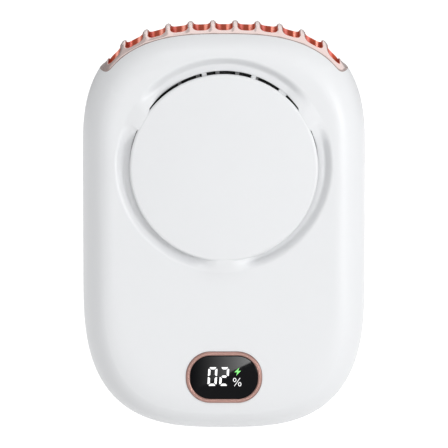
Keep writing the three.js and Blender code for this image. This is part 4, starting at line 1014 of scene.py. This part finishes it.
def makeClipPlate():
    bm = bmesh.new()
    jawZ = clipLow.z + clip["jawUp"]
    inside = [
        Vector((clipLow.y + clip["jawLip"] / 2, clipLow.z)), Vector((clipLow.y, jawZ - clip["wall"] / 2)),
        Vector((clipLow.y, jawZ + clip["wall"] / 2)), Vector((backY + clip["room"], jawZ + clip["jawRamp"])),
        Vector((backY + clip["room"], clipHigh.z)),
    ]
    outside = offsetPath(inside, clip["wall"])
    profile = [(clipLow.x, p.x, p.y) for p in inside + outside[::-1]]
    drawOut(bm, profile, (clipHigh.x - clipLow.x, 0, 0))
    ends = {(round(p.x, 6), round(p.y, 6)) for p in (inside[0], outside[0], inside[-1], outside[-1])}

    def atEnd(vert):
        return (round(vert.co.y, 6), round(vert.co.z, 6)) in ends

    along = [e for e in bm.edges if abs(e.verts[0].co.x - e.verts[1].co.x) > clip["wall"]]
    bends = [e for e in along if not atEnd(e.verts[0])]
    corners = [e for e in bm.edges if e not in along and atEnd(e.verts[0]) and atEnd(e.verts[1])]
    lip = [e for e in corners if e.verts[0].co.z < jawZ]
    thumb = [e for e in corners if e not in lip]
    shoulder = [e for e in bends if e.verts[0].co.z > jawZ + clip["jawRamp"] / 2]
    jawFront = [e for e in bends if e.verts[0].co.y < clipLow.y + clip["wall"] / 2]
    jawBack = [e for e in bends if e not in shoulder and e not in jawFront]
    # the jaw's short sides take smaller rounds
    rounds = ((lip, "lipCorner"), (thumb, "corner"), (shoulder, "bend"), (jawFront, "jawBend"),
              (jawBack, "jawHollow"))
    for edges, size in rounds:
        edges = [e for e in edges if e.is_valid]
        bmesh.ops.bevel(bm, geom=edges, offset=clip[size], segments=clip["bendSteps"], profile=0.5,
                        affect="EDGES", material=-1)
    return asObject(bm, "belt_clip_moulding")


def thumbCutter():
    # shallow grooves for the thumb
    bm = bmesh.new()
    for number in range(clip["grooves"]):
        verts = bmesh.ops.create_uvsphere(bm, u_segments=32, v_segments=16, radius=1.0)["verts"]
        bmesh.ops.scale(bm, vec=clip["grooveHalf"], verts=verts)
        up = hingeZ + clip["grooveLow"] + number * clip["groovePitch"]
        bmesh.ops.translate(bm, vec=(0, clipHigh.y + clip["grooveOut"], up), verts=verts)
    return asObject(bm, "thumb_cutter")


def makePin():
    radius = (pinHigh.z - pinLow.z) / 2
    soft = radius * clip["pinSoft"]
    profile = ((pinLow.x, 0.0), (pinLow.x, radius - soft), (pinLow.x + soft, radius),
               (pinHigh.x - soft, radius), (pinHigh.x, radius - soft), (pinHigh.x, 0.0))
    points = [(x, hingeY, hingeZ + r) for x, r in profile]
    return turned("hinge_pin", points, (0, hingeY, hingeZ), (1, 0, 0), clip["count"])


def makeWire(name, path):
    data = bpy.data.curves.new(name, "CURVE")
    data.dimensions = "3D"
    data.bevel_depth = clip["springWire"]
    data.bevel_resolution = 3
    data.use_fill_caps = True
    line = data.splines.new("POLY")
    line.points.add(len(path) - 1)
    for point, place in zip(line.points, path):
        point.co = (*place, 1.0)
    curve = bpy.data.objects.new(name, data)
    scene.collection.objects.link(curve)
    graph = bpy.context.evaluated_depsgraph_get()
    mesh = bpy.data.meshes.new_from_object(curve.evaluated_get(graph))
    bpy.data.objects.remove(curve)
    wire = bpy.data.objects.new(name, mesh)
    scene.collection.objects.link(wire)
    return wire


def makeSpring():
    # the coil and the leg on the casing; it turns on a little, to meet the other leg when that swings
    radius, half, steps = clip["springRadius"], clip["springWidth"] / 2, clip["springSteps"]
    sweep = 2 * math.pi * clip["springTurns"] + math.radians(clip["springLap"])
    path = [Vector((-half, backY + clip["springWire"] + clip["springGap"], hingeZ + clip["springLeg"]))]
    for number in range(steps + 1):
        place = circleAt(0.5, radius)
        place.rotate(Matrix.Rotation(sweep * number / steps, 2))
        path.append(Vector((-half + 2 * half * number / steps, hingeY + place.x, hingeZ + place.y)))
    return makeWire("clip_spring_wire", path)


def makeSpringLeg():
    # the leg that lies on the clip and swings with it
    across, out = clip["springWidth"] / 2, hingeY + clip["springRadius"]
    path = [Vector((across, out, hingeZ)), Vector((across, out, hingeZ + clip["springLeg"]))]
    return makeWire("clip_spring_leg", path)


def join(piece, *others):
    # several closed bodies in one mesh
    bm = bmesh.new()
    bm.from_mesh(piece.data)
    for other in others:
        bm.from_mesh(other.data)
        bpy.data.objects.remove(other)
    bm.to_mesh(piece.data)
    bm.free()


rearCover = makeRearCover()
carve(rearCover, rearCutter())
carve(rearCover, grilleCutter())
lugs = []
for side in (-1, 1):
    middle = side * clip["lugCentre"]
    lug = knuckleHull(f"lug_{side + 1}", middle - clip["lugWidth"] / 2, middle + clip["lugWidth"] / 2,
                      backY - casing["wall"] / 2)
    carve(lug, hingeBore())
    soften(lug, clip["knuckleSoft"])
    lugs.append(lug)
join(rearCover, makeRearBosses(), *lugs)
settle(rearCover, "casing", shellWhite, ["rear_cover"])
print("rear cover made")

clipPiece = makeClipPlate()
soften(clipPiece, clip["soft"])
carve(clipPiece, thumbCutter())
earStart = clip["lugCentre"] + clip["lugWidth"] / 2 + clip["earGap"]
earEnd = clipHigh.x - clip["earStep"]
for side, low, high in ((0, earStart, earEnd), (1, -earEnd, -earStart)):
    ear = knuckleHull(f"ear_{side}", low, high, backY + clip["room"] + clip["wall"] / 2)
    carve(ear, hingeBore())
    soften(ear, clip["knuckleSoft"])
    carve(clipPiece, ear, "UNION")
settle(clipPiece, "clip", shellWhite, ["belt_clip"])
settle(makePin(), "casing", brightSteel, ["clip_pin"])
settle(makeSpring(), "casing", brightSteel, ["clip_spring"])
settle(makeSpringLeg(), "clip", brightSteel)
print("clip made")

# case screws with a cross recess
screw = {
    "rim": 0.8 * mm, "head": 1.3 * mm, "round": 0.35 * mm, "shaft": 1 * mm, "steps": 48,
    "cross": (2.3 * mm, 0.55 * mm), "deep": 0.8 * mm,
}


def makeScrew(number, head):
    low, high = screwBoxes[number]
    rim, shaft, soft = (high.x - low.x) / 2, screw["shaft"], screw["round"]
    profile = ((0.0, high.y), (rim - soft, high.y), (rim, high.y - soft), (rim, high.y - screw["rim"]),
               (shaft, high.y - screw["head"]), (shaft, low.y + shaft), (0.0, low.y))
    points = [(head.x + r, y, head.z) for r, y in profile]
    piece = turned(f"case_screw_turned_{number + 1}", points, (head.x, 0, head.z), (0, 1, 0), screw["steps"])
    length, width = screw["cross"]
    for across, up in ((length, width), (width, length)):
        bm = bmesh.new()
        addBlock(bm, (across, 2 * screw["deep"], up), (head.x, high.y, head.z))
        carve(piece, asObject(bm, "cross_cutter"))
    return piece


for number, head in enumerate(screwHeads):
    settle(makeScrew(number, head), "casing", brightSteel, [f"case_screw_{number + 1}"])


# charging inlet
def makeUsbShell():
    wall, soft, low, high = inlet["wall"], inlet["round"], usbLow.z, usbHigh.z
    section = ((-wall, high - wall), (-wall, low + soft), (soft - wall, low), (-soft, low), (0.0, low + soft),
               (0.0, high))
    rings = [usbRing(*corner) for corner in section]
    return loopPiece("usb_inlet_shell", inlet["count"], rings, capStart=True, capEnd=True)


def makeContacts():
    # two rows of gold pads on the tongue
    low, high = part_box("usb_tongue")
    bm = bmesh.new()
    pitch = (high.x - low.x) / inlet["padSpan"]
    size = (pitch * inlet["padShare"], inlet["padThick"], inlet["padLength"])
    for out in (-inlet["padOut"], inlet["padOut"]):
        for number in range(inlet["pads"]):
            across = (number - (inlet["pads"] - 1) / 2) * pitch
            addBlock(bm, size, (across, usbY + out, low.z + inlet["padUp"]))
    return asObject(bm, "usb_contacts")


settle(makeUsbShell(), "casing", brightSteel, ["usb_shell"])
settle(makeContacts(), "casing", contactGold)


# power button
def sideX(y, z):
    # where the casing's right side is at a depth and height
    roll = rollInset(y - midY)
    reach, power = casing["baseReach"], casing["basePower"]
    beyond = max(bottomZ + reach - z, 0.0) / (reach - roll)
    return (casing["width"] / 2 - roll) * (1 - min(beyond, 1.0) ** power) ** (1 / power)


def buttonTop(shrink, drop):
    # a ring of the cap, lying just under the casing's side
    def at(share):
        place = roundedAt(share, button["width"], button["length"]) * shrink
        y, z = midY + place.x, buttonZ + place.y
        return Vector((sideX(y, z) - button["sunk"] - drop, y, z))
    return at


def makeButton():
    bm = newMesh()
    soft, rim = button["round"], button["flange"]
    inner = buttonLow.x
    outer = sideX(midY, buttonZ) - casing["wall"] - button["flangeGap"]
    step = outer - button["flangeStep"]
    rings = [buttonRing(rim, outer - rim), buttonRing(rim, step), buttonRing(0.0, step)]
    rings += [buttonTop(1 - button["roundShare"] * (1 - math.cos(t)), soft * (1 - math.sin(t)))
              for t in quarterTurns(button["roundSteps"])]
    rings += [buttonTop(shrink, 0.0) for shrink in button["crown"]]
    loopOf(bm, button["count"], rings, capStart=True, capEnd=True)
    stem = bmesh.ops.create_cone(bm, cap_ends=True, segments=button["stemCount"], radius1=button["stem"],
                                 radius2=button["stem"], depth=1.0)["verts"]
    bmesh.ops.rotate(bm, cent=(0, 0, 0), matrix=Matrix.Rotation(math.pi / 2, 3, "Y"), verts=stem)
    bmesh.ops.scale(bm, vec=(outer - inner, 1, 1), verts=stem)
    bmesh.ops.translate(bm, vec=((outer + inner) / 2 - button["stemBack"], stemY, buttonZ), verts=stem)
    return asObject(bm, "power_button_cap")


plungerLow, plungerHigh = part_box("switch_plunger")
stemY = (plungerLow.y + plungerHigh.y) / 2
settle(makeButton(), "button", shellWhite, ["power_button"])
print("screws, inlet and button made")

# finishes on the nodes that stay
nodeFinishes = {
    "shell_white": shellWhite, "rose_gold": roseGold, "window_black": windowBlack, "inner_black": innerBlack,
    "steel": brightSteel, "copper": copperWire, "ferrite": ferrite, "board_green": boardGreen,
    "cell_wrap": cellWrap,
}
for subpart in frame["record"]["subparts"]:
    mesh = cadNodes[subpart["node"]].data
    mesh.materials.clear()
    mesh.materials.append(nodeFinishes[subpart["material_slot"]])

# floor, light and camera
stageSet = {
    "floorDrop": 60 * mm, "floorSize": 8.0, "floorTone": (0.88, 0.88, 0.88, 1), "floorRough": 0.9,
    "floorGlow": 0.6,
    "elevation": 8.5, "distance": 1.2, "frameHeight": 123.9 * mm, "aim": (0.0, -15.5 * mm, 28.7 * mm),
    "ambient": 0.65,
    "key": ((0.92, -0.92, 0.12), 5.6, 0.34),   # place, power and size
    "fill": ((-0.12, -0.9, 1.0), 2.2, 0.5),
    "back": ((0.35, 1.15, 0.2), 2.6, 0.4),
    "flagReach": 1.5, "flagGrid": (12, 6),
    "flags": (   # tone, degrees across and up
        (0.25, (-75, -18), (-4, 25)), (0.5, (-75, -14), (25, 62)), (0.3, (-18, 50), (-4, 10)),
    ),
    "sheenRight": (7.24 * mm, 4.21 * mm), "sheenLeft": (-7.38 * mm, -3.1 * mm),   # edge of the window's sheen
    "sheenReach": 1.2, "sheenPower": 60.0, "sheenFade": 2.0,
}


def plainWhite(tree):
    # 1 for the rays that should see a plain white ground
    seen = 0.0
    for ray in ("Camera", "Glossy", "Transmission"):
        path = addNode(tree, "LightPath", out=f"Is {ray} Ray")
        seen = addNode(tree, "Math", {0: seen, 1: path}, operation="MAXIMUM")
    return seen


def makeWorld():
    world = bpy.data.worlds.new("studio")
    scene.world = world
    world.use_nodes = True
    tree = world.node_tree
    strength = addNode(tree, "MapRange", {
        "Value": plainWhite(tree), "To Min": stageSet["ambient"], "To Max": 1.0,
    })
    plug(tree, tree.nodes["Background"], {"Strength": strength, "Color": white})


def makeFloor():
    bm = bmesh.new()
    bmesh.ops.create_grid(bm, x_segments=1, y_segments=1, size=stageSet["floorSize"])
    bmesh.ops.translate(bm, vec=(0, 0, bottomZ - stageSet["floorDrop"]), verts=bm.verts[:])
    floor = asObject(bm, "floor")
    material = newMaterial("paleFloor", {
        "Base Color": stageSet["floorTone"], "Roughness": stageSet["floorRough"], "Specular IOR Level": 0.0,
        "Emission Color": white,
    })
    tree = material.node_tree
    glow = addNode(tree, "Math", {0: plainWhite(tree), 1: stageSet["floorGlow"]}, operation="MULTIPLY")
    plug(tree, shaderOf(material), {"Emission Strength": glow})
    floor.data.materials.append(material)


def areaLight(name):
    place, power, size = stageSet[name]
    data = bpy.data.lights.new(name, "AREA")
    data.energy = power
    data.size = size
    lamp = bpy.data.objects.new(name, data)
    scene.collection.objects.link(lamp)
    lamp.location = place
    towards = Vector(stageSet["aim"]) - lamp.location
    lamp.rotation_euler = towards.to_track_quat("-Z", "Y").to_euler()
    return lamp


def makeCamera():
    data = bpy.data.cameras.new("camera")
    camera = bpy.data.objects.new("camera", data)
    scene.collection.objects.link(camera)
    lift = math.radians(stageSet["elevation"])
    back = Vector((0, -math.cos(lift), math.sin(lift)))
    camera.location = Vector(stageSet["aim"]) + back * stageSet["distance"]
    camera.rotation_euler = (-back).to_track_quat("-Z", "Y").to_euler()
    data.sensor_width = 36
    data.lens = data.sensor_width * stageSet["distance"] / stageSet["frameHeight"]
    data.clip_start, data.clip_end = 0.01, 50
    scene.camera = camera


def makeSheenCard():
    # a bright card that only the window mirrors: its upper part, thrown out from the mirrored eye
    right, left = Vector(stageSet["sheenRight"]), Vector(stageSet["sheenLeft"])
    over = (right - left).normalized() * bezelSize.x / 4
    right, left = right + over, left - over
    eye = scene.camera.location.copy()
    eye.y = 2 * windowLow.y - eye.y
    bm = bmesh.new()
    verts = []
    for corner in (right, left, Vector((left.x, bezelSize.y)), Vector((right.x, bezelSize.y))):
        place = upright(corner, windowLow.y, displayZ)
        verts.append(bm.verts.new(eye + (place - eye) * stageSet["sheenReach"]))
    bm.faces.new(verts)
    card = asObject(bm, "sheen_card")
    half = stageSet["sheenReach"] * bezelSize.x / 2
    material = newMaterial("sheen", {"Base Color": black, "Emission Color": white})
    tree = material.node_tree
    across = addNode(tree, "SeparateXYZ", {"Vector": addNode(tree, "TexCoord", out="Object")})
    fade = addNode(tree, "MapRange", {"Value": across, "From Min": -half, "From Max": half})
    steep = addNode(tree, "Math", {0: fade, 1: stageSet["sheenFade"]}, operation="POWER")
    power = addNode(tree, "Math", {0: steep, 1: stageSet["sheenPower"]}, operation="MULTIPLY")
    plug(tree, shaderOf(material), {"Emission Strength": power})
    glossOnly(card, material)


def glossOnly(card, material):
    card.data.materials.append(material)
    card.visible_camera = False
    card.visible_diffuse = False
    card.visible_transmission = False
    card.visible_shadow = False


def makeFlag(number, tone, across, up):
    # a grey patch of a dome behind, which only mirror-like surfaces see
    bm = bmesh.new()
    columns, rows = stageSet["flagGrid"]
    bmesh.ops.create_grid(bm, x_segments=columns, y_segments=rows, size=0.5)
    for vert in bm.verts:
        turn = math.radians(across[0] + (across[1] - across[0]) * (vert.co.x + 0.5))
        lift = math.radians(up[0] + (up[1] - up[0]) * (vert.co.y + 0.5))
        way = Vector((math.sin(turn) * math.cos(lift), math.cos(turn) * math.cos(lift), math.sin(lift)))
        vert.co = Vector((0, midY, topZ)) + way * stageSet["flagReach"]
    flag = asObject(bm, f"flag_{number}")
    glossOnly(flag, newMaterial(f"flag_{number}", {
        "Base Color": black, "Specular IOR Level": 0.0, "Emission Color": white, "Emission Strength": tone,
    }))


makeWorld()
makeFloor()
areaLight("key")
areaLight("fill")
areaLight("back").visible_glossy = False   # lights the rear without a glare on the grille
makeCamera()
makeSheenCard()
for number, flag in enumerate(stageSet["flags"]):
    makeFlag(number, *flag)
print("stage made")
